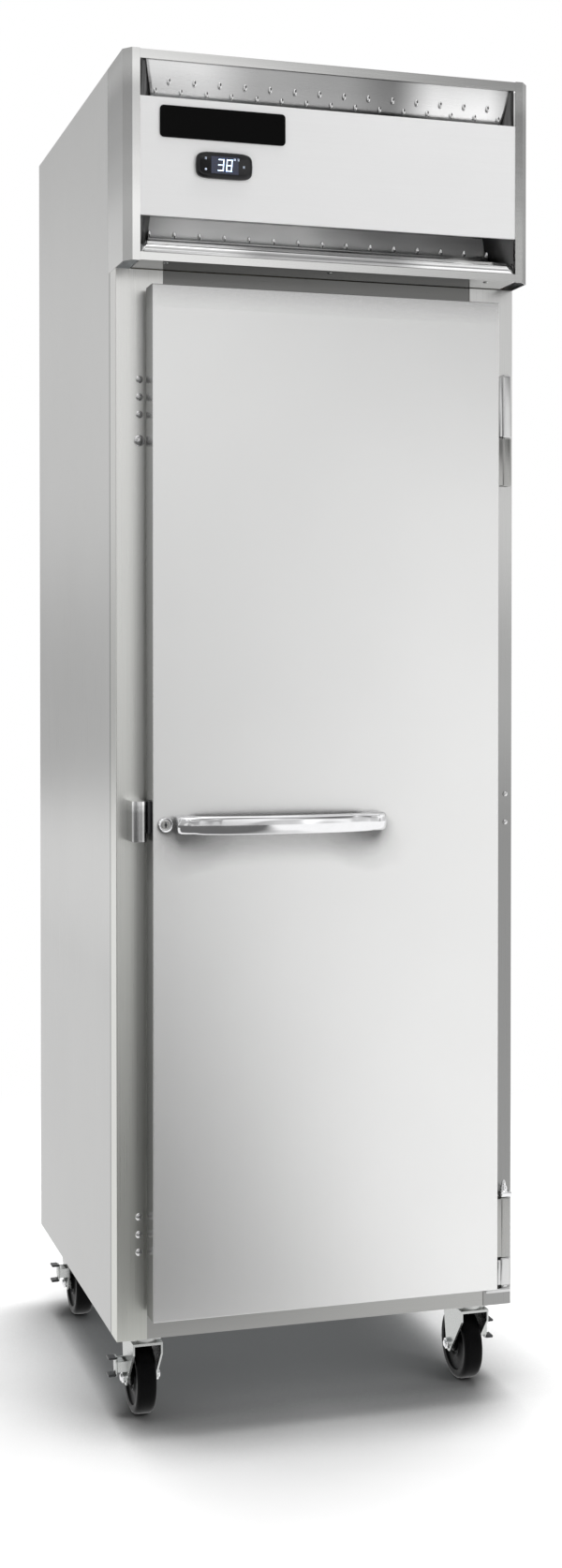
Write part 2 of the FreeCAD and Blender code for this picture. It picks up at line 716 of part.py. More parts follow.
def fan(x, y, z, radius, axis_sign):
    """Propeller: hub, shaft stub and four pitched blades."""
    hub = rod((0, 1, 0), x, y - 9, z, 16, 18)
    stem = rod((0, 1, 0), x, y + 8, z, 4, 16)
    blades = []
    for quarter in range(4):
        blade = doc.addObject("Part::Box", "blade")
        bind(blade, "Length", radius * 0.62)
        bind(blade, "Width", 2)
        bind(blade, "Height", radius - 12)
        tilt = FreeCAD.Rotation(Vec(0, 1, 0), 90 * quarter) * FreeCAD.Rotation(Vec(0, 0, 1), 28 * axis_sign)
        corner = tilt.multVec(Vec(-radius * 0.31, -1, 10))
        blade.Placement = FreeCAD.Placement(corner, tilt)
        place(blade, x + round(corner.x, 4), y + round(corner.y, 4), z + round(corner.z, 4))
        blades.append(blade)
    return fuse([hub, stem] + blades)


node("condenser_fan", fan(fan_x, -131, fan_z, 88, 1))


def fan_motor(x, y, z, foot_z):
    """Small fan motor on a strap leg, bored for the fan's shaft stub."""
    can = rod((0, 1, 0), x, y, z, 32, 58)
    leg = box((x - 12, x + 12), (y + 20, y + 50), (foot_z, z))
    sole = box((x - 30, x + 30), (y + 10, y + 60), (foot_z, size(foot_z) + 2))
    bore = rod((0, 1, 0), x, y - 1, z, 4.05, 16)
    return cut(fuse([can, leg, sole]), [bore])


evap_x0, evap_x1 = -300, 110
evap_y0, evap_y1 = 90, 370
evap_top = deck_z + 235
node("fan_motors", group([
    fan_motor(fan_x, -116, fan_z, deck_z),
    fan_motor(-190, 232, deck_z + 110, deck_z + 0.1),
]))

housing = box((evap_x0, evap_x1), (evap_y0, evap_y1), (deck_z, evap_top))
housing_room = box((evap_x0 + 25, evap_x1 - 25), (evap_y0 + 25, evap_y1 - 25), (deck_z - 1, evap_top - 25))
node("evaporator_housing", cut(housing, [housing_room]))
node("evaporator_coil", coil((-100, 70), (150, 210), (deck_z + 8, deck_z + 190), 12,
                             ((165, 28), (195, 28))))
node("evaporator_fan", fan(-190, 219, deck_z + 110, 70, 1))


def pipe(points, radius):
    """Straight runs of tube joined by ball elbows."""
    parts = []
    for (x0, y0, z0), (x1, y1, z1) in zip(points, points[1:]):
        run = Vec(x1 - x0, y1 - y0, z1 - z0)
        direction = (run.x / run.Length, run.y / run.Length, run.z / run.Length)
        parts.append(rod(direction, x0, y0, deck_z + z0, radius, run.Length))
    parts += [ball(x, y, deck_z + z, radius) for x, y, z in points]
    return fuse(parts)


node("refrigerant_lines", group([
    pipe([(120, 195, 70), (120, 130, 70), (120, 130, 150), (114.8, 130, 150)], 4.5),
    pipe([(306, -195, 40), (314, -195, 40), (314, 60, 40), (314, 60, 60), (314, 180, 60),
          (300, 180, 60)], 4),
    pipe([(34, -195, 192), (20, -195, 192), (20, -40, 192), (20, -40, 60), (20, 60, 60), (20, 60, 150),
          (20, 86, 150)], 3.5),
]))

node("junction_box", box((-290, -150), (-60, 40), (deck_z, deck_z + 110)))
node("cord_gland", cut(
    fuse([
        rod((0, 1, 0), gland_x, back - 16, gland_z, 12, 16),
        rod((0, 1, 0), gland_x, back - 7.6, gland_z, 16, 6),
    ]),
    [rod((0, 1, 0), gland_x, back - 18, gland_z, 5.5, 20)],
))

# ---------------------------------------------------------------- check and write
doc.recompute()
faults = [o.Name for o in doc.Objects if "Invalid" in o.State or "Error" in o.State]
if faults:
    raise RuntimeError(f"objects that did not build: {faults}")
os.makedirs("parts", exist_ok=True)
for piece in nodes:
    if piece.Shape.isNull() or not piece.Shape.isValid():
        raise RuntimeError(f"{piece.Label} has no valid shape")
    piece.Shape.exportStep(f"parts/{piece.Label}.step")
print(len(nodes), "nodes written")
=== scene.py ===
import math

import bmesh
import bpy
from mathutils import Matrix, Vector


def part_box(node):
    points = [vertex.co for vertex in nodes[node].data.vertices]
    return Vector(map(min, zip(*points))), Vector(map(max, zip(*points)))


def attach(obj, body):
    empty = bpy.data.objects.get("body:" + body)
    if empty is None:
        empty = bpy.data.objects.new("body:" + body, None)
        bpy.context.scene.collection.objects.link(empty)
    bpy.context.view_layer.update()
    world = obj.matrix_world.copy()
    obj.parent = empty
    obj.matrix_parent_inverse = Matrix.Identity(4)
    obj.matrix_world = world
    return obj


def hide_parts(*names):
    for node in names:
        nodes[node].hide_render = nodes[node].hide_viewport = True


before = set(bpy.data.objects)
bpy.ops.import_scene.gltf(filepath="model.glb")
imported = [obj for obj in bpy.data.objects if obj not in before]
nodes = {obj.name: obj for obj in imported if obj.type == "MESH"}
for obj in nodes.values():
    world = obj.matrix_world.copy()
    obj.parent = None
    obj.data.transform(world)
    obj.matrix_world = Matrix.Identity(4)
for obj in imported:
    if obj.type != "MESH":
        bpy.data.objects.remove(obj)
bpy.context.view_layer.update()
scene = bpy.context.scene
scene.view_settings.view_transform = "Standard"
CORNERS = ("front_left", "front_right", "rear_left", "rear_right")
HINGE_X, HINGE_Y = 0.3045, -0.319
SWIVEL_Y = {"front": -0.238, "rear": 0.326}
SHEET = 0.0008
EVEN = (1, 1, 1)
WHITE = (1, 1, 1, 1)


# ---------------------------------------------------------------- node material helpers
def feed(tree, node, inputs):
    """Give each named socket of a node a constant, or a link from another node's output."""
    for key, value in inputs.items():
        if isinstance(value, bpy.types.NodeSocket):
            tree.links.new(value, node.inputs[key])
        else:
            node.inputs[key].default_value = value


def add_node(tree, kind, inputs=None, **settings):
    """Make a shader node, set its properties and feed its sockets."""
    node = tree.nodes.new("ShaderNode" + kind)
    for key, value in settings.items():
        setattr(node, key, value)
    feed(tree, node, inputs or {})
    return node


def new_material(name):
    mat = bpy.data.materials.new(name)
    mat.use_nodes = True
    return mat, mat.node_tree, mat.node_tree.nodes["Principled BSDF"]


def coordinate(tree, kind, axis=None):
    """A texture coordinate, or its part along one axis."""
    place = add_node(tree, "TexCoord").outputs[kind]
    return add_node(tree, "SeparateXYZ", {"Vector": place}).outputs[axis] if axis else place


def grain(tree, scale, stretch=EVEN, detail=3.0, rough=0.6):
    """Noise in object space, drawn out by stretch along each axis."""
    mapping = add_node(tree, "Mapping", {"Vector": coordinate(tree, "Object"), "Scale": stretch})
    return add_node(tree, "TexNoise", {"Vector": mapping.outputs["Vector"], "Scale": scale, "Detail": detail,
                                       "Roughness": rough}).outputs["Fac"]


def ramp(tree, source, low, high, start=0.3, end=0.7):
    """Map a 0 to 1 value to a range of numbers or colours."""
    node = add_node(tree, "ValToRGB", {"Fac": source})
    for element, place, value in zip(node.color_ramp.elements, (start, end), (low, high)):
        element.position = place
        element.color = (*value, 1) if isinstance(value, tuple) else (value, value, value, 1)
    return node.outputs["Color"]


def math_node(tree, kind, first, second):
    return add_node(tree, "Math", {0: first, 1: second}, operation=kind).outputs[0]


def multiply(tree, first, second):
    return add_node(tree, "Mix", {"Factor": 1.0, "A": first, "B": second}, data_type="RGBA",
                    blend_type="MULTIPLY").outputs["Result"]


def bump(tree, shader, source, distance):
    node = add_node(tree, "Bump", {"Distance": distance, "Strength": 1.0, "Height": source})
    feed(tree, shader, {"Normal": node.outputs["Normal"]})


def reach(tree, source, start, end, low=0.0, high=1.0, **settings):
    """Map a value from the range start to end to the range low to high."""
    return add_node(tree, "MapRange", {"Value": source, "From Min": start, "From Max": end, "To Min": low,
                                       "To Max": high}, **settings).outputs["Result"]


def paint_contact_shade(tree, color, distance, dark, lean=0.9, start=0.45, end=0.92):
    """Paint shade into a colour where other pieces stand close to the surface, more so above it than below, as
    under light from above.
    """
    normal = add_node(tree, "NewGeometry").outputs["Normal"]
    tilt = add_node(tree, "VectorMath", {0: normal, 1: (0, 0, lean)}, operation="ADD").outputs["Vector"]
    node = add_node(tree, "AmbientOcclusion", {"Distance": distance, "Normal": tilt}, samples=16)
    return multiply(tree, color, ramp(tree, node.outputs["AO"], dark, 1.0, start, end))


def paint_facing_shade(tree, color, axis, dark):
    """Paint shade on the faces whose own normal points to the low end of one axis."""
    facing = math_node(tree, "ADD", coordinate(tree, "Normal", axis), 1.0)
    return multiply(tree, color, ramp(tree, facing, dark, 1.0, 0.15, 0.6))


def levels(tree, color, axis, start, end, stops):
    """Multiply a colour by a run of (place, level) stops along one axis, to paint bands of light and shade."""
    place = reach(tree, coordinate(tree, "Object", axis), start, end)
    node = add_node(tree, "ValToRGB", {"Fac": place})
    node.color_ramp.interpolation = "EASE"
    elements = node.color_ramp.elements
    while len(elements) < len(stops):
        elements.new(0.5)
    for element, (place, level) in zip(elements, stops):
        element.position = place
        element.color = (level, level, level, 1)
    return multiply(tree, color, node.outputs["Color"])


def tints(color, spread):
    """A colour a little darker, and the same a little lighter."""
    return tuple(c * (1 - spread) for c in color), tuple(min(1.0, c * (1 + spread)) for c in color)


def brushed(name, tint, rough=(0.26, 0.36), axis="z", depth=0.00002, spread=0.05, fade=None, metallic=1.0,
            shade=None, below=None, left=None, bands=None):
    """Satin metal with long fine scratches along one axis and faint clouding.

    fade paints shade that changes with height, shade paints shade where other pieces are near, below and left
    paint shade on faces that look down or to the left, and bands paint light and shade in soft steps along an
    axis.
    """
    mat, tree, shader = new_material(name)
    lines = grain(tree, 14.0, {"x": (0.35, 80, 80), "z": (80, 80, 0.35)}[axis], 6.0, 0.75)
    clouds = grain(tree, 2.3, detail=2.0)
    color = multiply(tree, ramp(tree, lines, *tints(tint, spread)), ramp(tree, clouds, 0.96, 1.0))
    if fade:
        z_low, z_high, dark, light = fade
        height = reach(tree, coordinate(tree, "Object", "Z"), z_low, z_high)
        color = multiply(tree, color, ramp(tree, height, dark, light, 0.0, 1.0))
    if shade:
        color = paint_contact_shade(tree, color, *shade)
    if below:
        color = paint_facing_shade(tree, color, "Z", below)
    if left:
        color = paint_facing_shade(tree, color, "X", left)
    if bands:
        color = levels(tree, color, *bands)
    feed(tree, shader, {"Metallic": metallic, "Base Color": color, "Roughness": ramp(tree, lines, *rough)})
    bump(tree, shader, lines, depth)
    return mat


def plain(name, color, rough=(0.4, 0.55), metallic=0.0, scale=90.0, depth=0.00005, spread=0.06, coat=0.0,
          shine=0.5):
    """Moulded, painted or cast surface: fine mottling in colour, roughness and height."""
    mat, tree, shader = new_material(name)
    mottling = grain(tree, scale, detail=5.0)
    feed(tree, shader, {"Metallic": metallic, "Coat Weight": coat, "Specular IOR Level": shine,
                        "Base Color": ramp(tree, mottling, *tints(color, spread)),
                        "Roughness": ramp(tree, mottling, *rough)})
    bump(tree, shader, mottling, depth)
    return mat


def lit(name, color, strength):
    """Softly glowing numerals and marks."""
    mat, tree, shader = new_material(name)
    glow = ramp(tree, grain(tree, 900.0, detail=2.0), tuple(c * 0.9 for c in color), color)
    feed(tree, shader, {"Emission Color": glow, "Emission Strength": strength, "Base Color": (*color, 1),
                        "Roughness": 0.4})
    return mat


def painted_reflection_sheet(name, stops, floor_level, rough=(0.1, 0.18)):
    """Polished sheet with painted reflections, hot towards its ends and duller between, in uneven soft patches.
    """
    mat, tree, shader = new_material(name)
    half_length = 0.306
    lines = grain(tree, 12.0, (1.2, 70, 70), 5.0)
    clouds = ramp(tree, grain(tree, 5.0, (1.0, 2.0, 2.0), 2.0), floor_level, 1.0, 0.35, 0.62)
    color = levels(tree, clouds, "X", -half_length, half_length, stops)
    color = multiply(tree, color, ramp(tree, lines, 0.94, 1.0))
    feed(tree, shader, {"Metallic": 1.0, "Base Color": color, "Roughness": ramp(tree, lines, *rough)})
    bump(tree, shader, lines, 0.00001)
    return mat


STEEL = brushed("steel_vertical", (0.8, 0.8, 0.79), spread=0.03)
# Painted shade: the side panel's front edge is darkened along the seam behind the stile, and its lower part is
# darker.
STEEL_SIDE = brushed("steel_side", (0.8, 0.8, 0.79), spread=0.02,
                     fade=(0.7, 1.1, (0.66, 0.66, 0.66), (1.0, 1.0, 1.0)),
                     bands=("Y", -0.2485, -0.2285, ((0.0, 0.45), (0.25, 0.6), (0.45, 1.0))))
# Painted shade: darker where the handle and other pieces stand close, most of all under them, and on the door's
# side face that looks left.
STEEL_DOOR = brushed("steel_door", (0.87, 0.87, 0.865), rough=(0.25, 0.27), depth=0.000001, spread=0.008,
                     metallic=0.86, shade=(0.068, 0.22, 1.4, 0.4, 0.76), left=0.48)
# Painted shade on the header's faces that look down, and painted reflections in bright and dark bands up its
# height.
STEEL_X = brushed("steel_across", (0.8, 0.8, 0.79), rough=(0.12, 0.2), axis="x", below=0.42,
                  bands=("Z", 1.803, 2.122, ((0.0, 1.0), (0.25, 1.12), (0.45, 0.98), (0.62, 0.86), (0.8, 0.78),
                                             (0.93, 1.1), (1.0, 1.0))))
# Painted shade: the left stile darkens towards the bottom.
STEEL_POST = brushed("steel_post", (0.9, 0.9, 0.88), fade=(0.2, 1.75, (0.74, 0.75, 0.72), (1.0, 1.0, 1.0)))
STEEL_SHADED = brushed("steel_post_shaded", (0.84, 0.84, 0.83), bands=(
    "Z", 0.14, 1.8, ((0.0, 0.4), (0.15, 0.36), (0.45, 0.36), (0.62, 0.52), (0.8, 0.82), (1.0, 0.98))))
# Painted shade: the front rails are a darker copy of the steel, darker still towards the rail under the header.
STEEL_RAIL = brushed("steel_rail", (0.42, 0.42, 0.41), axis="x",
                     fade=(0.3, 1.7, (1.0, 1.0, 1.0), (0.56, 0.56, 0.56)))
STEEL_BRIGHT = brushed("steel_panel", (0.92, 0.92, 0.92), rough=(0.4, 0.48), axis="x", spread=0.015,
                       metallic=0.35)
POLISHED = brushed("steel_polished", (0.82, 0.82, 0.82), rough=(0.1, 0.16), axis="x", spread=0.03)
GALVANISED = plain("galvanised", (0.56, 0.58, 0.59), (0.32, 0.5), 1.0, 38.0, 0.00003, 0.14)
ALUMINIUM = brushed("aluminium", (0.83, 0.84, 0.85), rough=(0.34, 0.46))
CHROME = plain("chrome", (0.86, 0.86, 0.87), (0.045, 0.085), 1.0, 60.0, 0.000012, 0.02)
ZINC = plain("zinc_plate", (0.54, 0.55, 0.54), (0.24, 0.32), 1.0, 110.0, 0.000006, 0.03)
BLACK_GLOSS = plain("black_gloss", (0.006, 0.006, 0.007), (0.1, 0.18), 0.0, 160.0, 0.000008, 0.1, 0.15, 0.35)
BLACK_PLATE = plain("black_plate", (0.003, 0.003, 0.003), (0.14, 0.24), 0.0, 160.0, 0.000008, 0.1, 0.0, 0.04)
RUBBER = plain("caster_rubber", (0.003, 0.003, 0.0032), (0.3, 0.42), 0.0, 140.0, 0.00006, 0.2, 0.0, 0.05)
GREY_PLASTIC = plain("grey_plastic", (0.42, 0.43, 0.44), (0.5, 0.62), 0.0, 220.0, 0.00006, 0.06)
DARK_PLASTIC = plain("dark_plastic", (0.035, 0.036, 0.04), (0.42, 0.56), 0.0, 200.0, 0.00006, 0.15)
FOAM = plain("foam", (0.8, 0.72, 0.5), (0.8, 0.95), 0.0, 320.0, 0.0006, 0.1)
COATED = plain("coated_wire", (0.72, 0.74, 0.72), (0.28, 0.4), 0.0, 90.0, 0.00004, 0.04, 0.3)
ENAMEL = plain("black_enamel", (0.02, 0.02, 0.022), (0.2, 0.34), 0.0, 70.0, 0.0001, 0.2, 0.4)
FINS = brushed("coil_fins", (0.8, 0.81, 0.82), rough=(0.28, 0.42), axis="z")
COPPER = plain("copper", (0.8, 0.44, 0.29), (0.2, 0.36), 1.0, 60.0, 0.00003, 0.12)
HINGE = brushed("hinge_satin", (0.66, 0.66, 0.66), rough=(0.2, 0.28), spread=0.02)
HINGE_DARK = brushed("hinge_shaded", (0.4, 0.4, 0.39), rough=(0.24, 0.32), spread=0.02)
# Painted highlight: the bands lighten the top end of the strike and darken it lower down.
STRIKE = brushed("strike_casting", (0.56, 0.56, 0.56), rough=(0.12, 0.18), spread=0.02,
                 bands=("Z", 0.922, 0.984, ((0.0, 0.9), (0.12, 0.8), (0.7, 0.85), (0.85, 1.3), (0.95, 1.7))))
SCREW = plain("screw_steel", (0.74, 0.74, 0.74), (0.16, 0.24), 1.0, 120.0, 0.00001, 0.03)
# The handle's cast back face, made near-black as painted shade so that the door mirrors a dark line above the
# bar.
SHADED_CAST_BACK = plain("shaded_cast_back", (0.05, 0.05, 0.05), (0.35, 0.5), 1.0, 150.0, 0.0001, 0.2)
PEDAL = plain("pedal_oxide", (0.045, 0.046, 0.048), (0.25, 0.4), 0.6, 200.0, 0.00006, 0.2)
GASKET = plain("gasket_vinyl", (0.46, 0.46, 0.465), (0.5, 0.62), 0.0, 240.0, 0.00004, 0.08)
LENS = plain("lamp_lens", (0.86, 0.86, 0.82), (0.3, 0.42), 0.0, 60.0, 0.00003, 0.03)
NUMERALS = lit("numerals", (0.62, 0.78, 1.0), 2.2)
MARKS = lit("marks", (0.55, 0.62, 0.75), 0.45)
WINDOW = plain("display_window", (0.006, 0.012, 0.045), (0.08, 0.16), 0.0, 240.0, 0.000004, 0.3, 0.6)
# The stops paint the reflections of the polished scoops and lip: bright and dark patches across the header.
SCOOP = painted_reflection_sheet("scoop_upper_sheet", ((0.0, 1.0), (0.14, 1.0), (0.32, 0.52), (0.52, 0.44), (0.66, 0.26),
                                        (0.79, 0.95), (0.92, 1.0), (1.0, 0.5)), 0.95, (0.26, 0.34))
SCOOP_LOW = painted_reflection_sheet("scoop_lower_sheet",
                      ((0.0, 0.3), (0.16, 0.6), (0.42, 0.62), (0.7, 0.3), (1.0, 0.22)), 0.7)
LIP = painted_reflection_sheet("scoop_lip", ((0.0, 1.0), (0.2, 1.0), (0.32, 0.5), (0.66, 0.46), (0.78, 1.0), (1.0, 1.0)), 0.9)
# Painted shade: the scoops' end cheeks are a dark copy of the steel.
CHEEK = brushed("scoop_cheek", (0.16, 0.16, 0.16), rough=(0.3, 0.4), axis="z")
NUB = plain("punched_nubs", (0.9, 0.9, 0.9), (0.1, 0.2), 1.0, 200.0, 0.00001, 0.05)
SLOT_DARK = plain("slot_shadow", (0.06, 0.06, 0.062), (0.5, 0.7), 0.0, 200.0, 0.00002, 0.2)


def dress(material, *names):
    """Give CAD nodes their material."""
    for name in names:
        mesh = nodes[name].data
        mesh.materials.clear()
        mesh.materials.append(material)


dress(STEEL, "door_liner")
dress(STEEL_SIDE, "side_panel_left", "side_panel_right")
dress(STEEL_DOOR, "door_skin")
dress(STEEL_POST, "stile_left")
dress(STEEL_SHADED, "stile_right")
dress(STEEL_RAIL, "front_rails")
dress(STEEL_X, "header_frame")
dress(STEEL_BRIGHT, "header_panel")
dress(POLISHED, "upper_scoop", "lower_scoop")
dress(GALVANISED, "back_panel", "rear_grille", "top_deck", "base_pan", "evaporator_housing", "junction_box",
      "condenser_shroud")
dress(ALUMINIUM, "interior_liner", "shelf_posts", "shelf_clips")
dress(GREY_PLASTIC, "breaker_strips", "door_gasket")
dress(FOAM, "foam_insulation", "door_foam")
dress(COATED, "wire_shelf_1", "wire_shelf_2", "wire_shelf_3")
dress(STRIKE, "strike")
dress(CHROME, "door_handle", "door_lock", "hinge_door_halves", "hinge_frame_halves", "stile_screws",
      "plug_buttons")
dress(BLACK_GLOSS, "nameplate", "controller_case", "controller_display")
dress(LENS, "interior_lamp")
dress(ENAMEL, "compressor")
dress(FINS, "condenser_coil", "evaporator_coil")
dress(DARK_PLASTIC, "condenser_fan", "evaporator_fan", "fan_motors", "cord_gland")
dress(COPPER, "refrigerant_lines")
for corner in CORNERS:
    dress(ZINC, f"caster_fork_{corner}", f"caster_brake_{corner}")
    dress(RUBBER, f"caster_wheel_{corner}")
dress(ZINC, "caster_plates")


# ---------------------------------------------------------------- mesh helpers
def add_piece(name, bm, material, body, replaces=(), smooth=35):
    """Turn a bmesh into a piece of the object that rides on a CAD body."""
    bmesh.ops.remove_doubles(bm, verts=bm.verts, dist=1e-6)
    bmesh.ops.recalc_face_normals(bm, faces=bm.faces)
    mesh = bpy.data.meshes.new(name)
    bm.to_mesh(mesh)
    bm.free()
    for face in mesh.polygons:
        face.use_smooth = True
    mesh.set_sharp_from_angle(angle=math.radians(smooth))
    mesh.materials.append(material)
    obj = bpy.data.objects.new(name, mesh)
    scene.collection.objects.link(obj)
    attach(obj, body)
    if replaces:
        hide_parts(*replaces)
    return obj


def frame_matrix(origin, axis, side=None):
    """Local Z along axis, local X near side, placed at origin."""
    z = Vector(axis).normalized()
    x = Vector(side) if side else (Vector((1, 0, 0)) if abs(z.x) < 0.9 else Vector((0, 1, 0)))
    x = (x - z * x.dot(z)).normalized()
    y = z.cross(x)
    turn = Matrix((x, y, z)).transposed().to_4x4()
    return Matrix.Translation(Vector(origin)) @ turn


def circle(radius, count):
    """Points of a circle round the origin."""
    turns = [2 * math.pi * k / count for k in range(count)]
    return [(radius * math.cos(a), radius * math.sin(a)) for a in turns]


def squircle(half_u, half_v, count=40, power=0.36):
    """Points of a rounded rectangle round the origin."""
    return [(math.copysign(abs(c) ** power, c) * half_u, math.copysign(abs(s) ** power, s) * half_v)
            for c, s in circle(1.0, count)]


def lathe(bm, profile, matrix, steps=48):
    """Spin (radius, height) points round local Z; ends on the axis close by themselves."""
    rings = []
    for radius, height in profile:
        if radius < 1e-7:
            rings.append([bm.verts.new(matrix @ Vector((0, 0, height)))])
        else:
            rings.append([bm.verts.new(matrix @ Vector((u, v, height))) for u, v in circle(radius, steps)])
    for first, second in zip(rings, rings[1:]):
        for i in range(steps):
            j = (i + 1) % steps
            if len(first) == 1 and len(second) == 1:
                break
            if len(first) == 1:
                bm.faces.new((first[0], second[i], second[j]))
            elif len(second) == 1:
                bm.faces.new((first[i], second[0], first[j]))
            else:
                bm.faces.new((first[i], second[i], second[j], first[j]))


def loft(bm, rings, cap=True):
    """Skin a run of equal rings of points."""
    made = [[bm.verts.new(p) for p in ring] for ring in rings]
    count = len(made[0])
    for first, second in zip(made, made[1:]):
        for i in range(count):
            j = (i + 1) % count
            bm.faces.new((first[i], first[j], second[j], second[i]))
    if cap:
        bm.faces.new(made[0])
        bm.faces.new(made[-1])


def block(bm, low, high, bevel=0.0, segments=3):
    """A rounded block between two corners."""
    size = Vector(high) - Vector(low)
    middle = (Vector(high) + Vector(low)) / 2
    made = bmesh.ops.create_cube(
        bm, size=1.0, matrix=Matrix.Translation(middle) @ Matrix.Diagonal((*size, 1)))
    if bevel:
        # A dictionary drops repeated edges and keeps the rest in order.
        edges = dict.fromkeys(e for v in made["verts"] for e in v.link_edges)
        bmesh.ops.bevel(bm, geom=list(edges), offset=bevel, segments=segments, profile=0.5, affect="EDGES",
                        clamp_overlap=True)


def tube(bm, points, radius, sides=14):
    """A round tube along a run of points."""
    rings = []
    for i, point in enumerate(points):
        before = points[max(i - 1, 0)]
        after = points[min(i + 1, len(points) - 1)]
        place = frame_matrix(point, Vector(after) - Vector(before), (0.13, 0.97, 0.2))
        rings.append([place @ Vector((u, v, 0)) for u, v in circle(radius, sides)])
    loft(bm, rings)


# ---------------------------------------------------------------- handle
def handle():
    """Bowed bar with square feet, lofted across the door."""
    low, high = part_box("door_handle")
    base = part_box("door_skin")[0].y
    z_mid = (low.z + high.z) / 2
    half = (high.z - low.z) / 2
    length = high.x - low.x
    stand_off = base - low.y
    bm = bmesh.new()
    rings = []
    count = 72
    for i in range(count + 1):
        k = i / count
        x = low.x + length * k
        along = min(k, 1 - k) * length
        arch = math.sin(math.pi * min(1.0, (along + 0.012) / (length / 2)) / 2)
        if along < 0.024:
            out = stand_off * (0.42 + 0.25 * math.sin(math.pi * along / 0.048))
            back = 0.0
        else:
            out = stand_off * (0.67 + 0.33 * arch ** 1.4 * min(1.0, (along - 0.012) / 0.05))
            back = out - 0.0135 - 0.004 * (1 - min(1.0, (along - 0.024) / 0.05))
            back *= min(1.0, (along - 0.018) / 0.018)
        edge = min(1.0, 0.86 + along / 0.024)
        ring = []
        for c, s in circle(1.0, 28):
            power = 0.62 if c > 0 else 0.32
            u = math.copysign(abs(c) ** power, c)
            v = math.copysign(abs(s) ** (0.5 if c > 0 else 0.32), s)
            mid_y, half_y = (out + back) / 2, (out - back) / 2
            ring.append(Vector((x, base - mid_y - half_y * u, z_mid + half * edge * v)))
        rings.append(ring)
    loft(bm, rings)
    bow = add_piece("handle_bow", bm, CHROME, "door", ("door_handle",), 50)
    # The faces towards the door take the near-black back material, painted shade behind the bar.
    bow.data.materials.append(SHADED_CAST_BACK)
    for face in bow.data.polygons:
        if face.normal.y > 0.6:
            face.material_index = 1


# ---------------------------------------------------------------- small turned pieces
def screw(bm, place, radius, rise, cross=True):
    """Domed head with a cross recess."""
    dome = [(radius * u, rise * v) for u, v in circle(1.0, 32)[:8]]
    profile = [(radius, 0)] + dome + [(radius * 0.16, rise), (0, rise * (0.55 if cross else 1.0))]
    lathe(bm, profile, place, 28)
    if cross:
        for turn in (0.3, 0.3 + math.pi / 2):
            groove = place @ Matrix.Translation((0, 0, rise * 0.93)) @ Matrix.Rotation(turn, 4, "Z")
            bmesh.ops.create_cube(bm, size=1.0, matrix=groove @ Matrix.Diagonal(
                (radius * 0.95, radius * 0.17, rise * 0.16, 1)))


def solid_boxes(name):
    """The low and high corners of each separate solid in a CAD node."""
    mesh = nodes[name].data
    bm = bmesh.new()
    bm.from_mesh(mesh)
    bmesh.ops.remove_doubles(bm, verts=bm.verts, dist=1e-5)
    seen, found = set(), []
    for vert in bm.verts:
        if vert.index in seen:
            continue
        stack, island = [vert], []
        seen.add(vert.index)
        while stack:
            v = stack.pop()
            island.append(v.co.copy())
            for e in v.link_edges:
                other = e.other_vert(v)
                if other.index not in seen:
                    seen.add(other.index)
                    stack.append(other)
        low = Vector(map(min, zip(*island)))
        high = Vector(map(max, zip(*island)))
        found.append((low, high))
    bm.free()
    return found


def fasteners():
    """Domed screws on the left stile and plain plug buttons."""
    low_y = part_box("stile_screws")[1].y
    bm = bmesh.new()
    for low, high in solid_boxes("stile_screws"):
        mid = (low + high) / 2
        screw(bm, frame_matrix((mid.x, low_y, mid.z), (0, -1, 0)), 0.006, 0.003)
    add_piece("screw_heads", bm, SCREW, "cabinet", ("stile_screws",), 40)
    bm = bmesh.new()
    for low, high in solid_boxes("plug_buttons"):
        mid = (low + high) / 2
        screw(bm, frame_matrix((mid.x, high.y, mid.z), (0, -1, 0)), (high.x - low.x) / 2 * 0.97,
              (high.y - low.y) * 0.98, False)
    add_piece("plug_heads", bm, SCREW, "cabinet", ("plug_buttons",), 40)


def lock():
    """Key lock: stepped chrome ring with a turned plug and key slot."""
    low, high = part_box("door_lock")
    mid = Vector(((low.x + high.x) / 2, high.y, low.z + 0.012))
    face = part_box("door_skin")[0].y
    place = frame_matrix((mid.x, face - 0.0001, mid.z), (0, -1, 0), (1, 0, 0))
    bm = bmesh.new()
    lathe(bm, [(0.0, -0.028), (0.009, -0.028), (0.009, -0.0005), (0.0119, -0.0003), (0.0119, 0.0012),
               (0.0112, 0.0028), (0.01, 0.0036), (0.0086, 0.0034), (0.0078, 0.002), (0.0, 0.002)], place, 48)
    block(bm, (mid.x - 0.0068, high.y - 0.003, mid.z - 0.0068),
          (mid.x + 0.0068, high.y - 0.0002, mid.z + 0.0328), 0.0012, 2)
    add_piece("lock_barrel", bm, CHROME, "door_lock_body", ("door_lock",), 30)
    bm = bmesh.new()
    lathe(bm, [(0.0, 0.0015), (0.007, 0.0015), (0.007, 0.0034), (0.0064, 0.0039), (0.0, 0.0039)], place, 40)
    add_piece("lock_plug", bm, HINGE_DARK, "door_lock_body", (), 30)
    bm = bmesh.new()
    block(bm, (mid.x - 0.0011, face - 0.0043, mid.z - 0.0042),
          (mid.x + 0.0011, face - 0.0038, mid.z + 0.0042), 0.0002, 1)
    block(bm, (mid.x - 0.0022, face - 0.0043, mid.z - 0.0011),
          (mid.x + 0.0022, face - 0.0038, mid.z + 0.0011), 0.0002, 1)
    add_piece("lock_keyway", bm, DARK_PLASTIC, "door_lock_body")


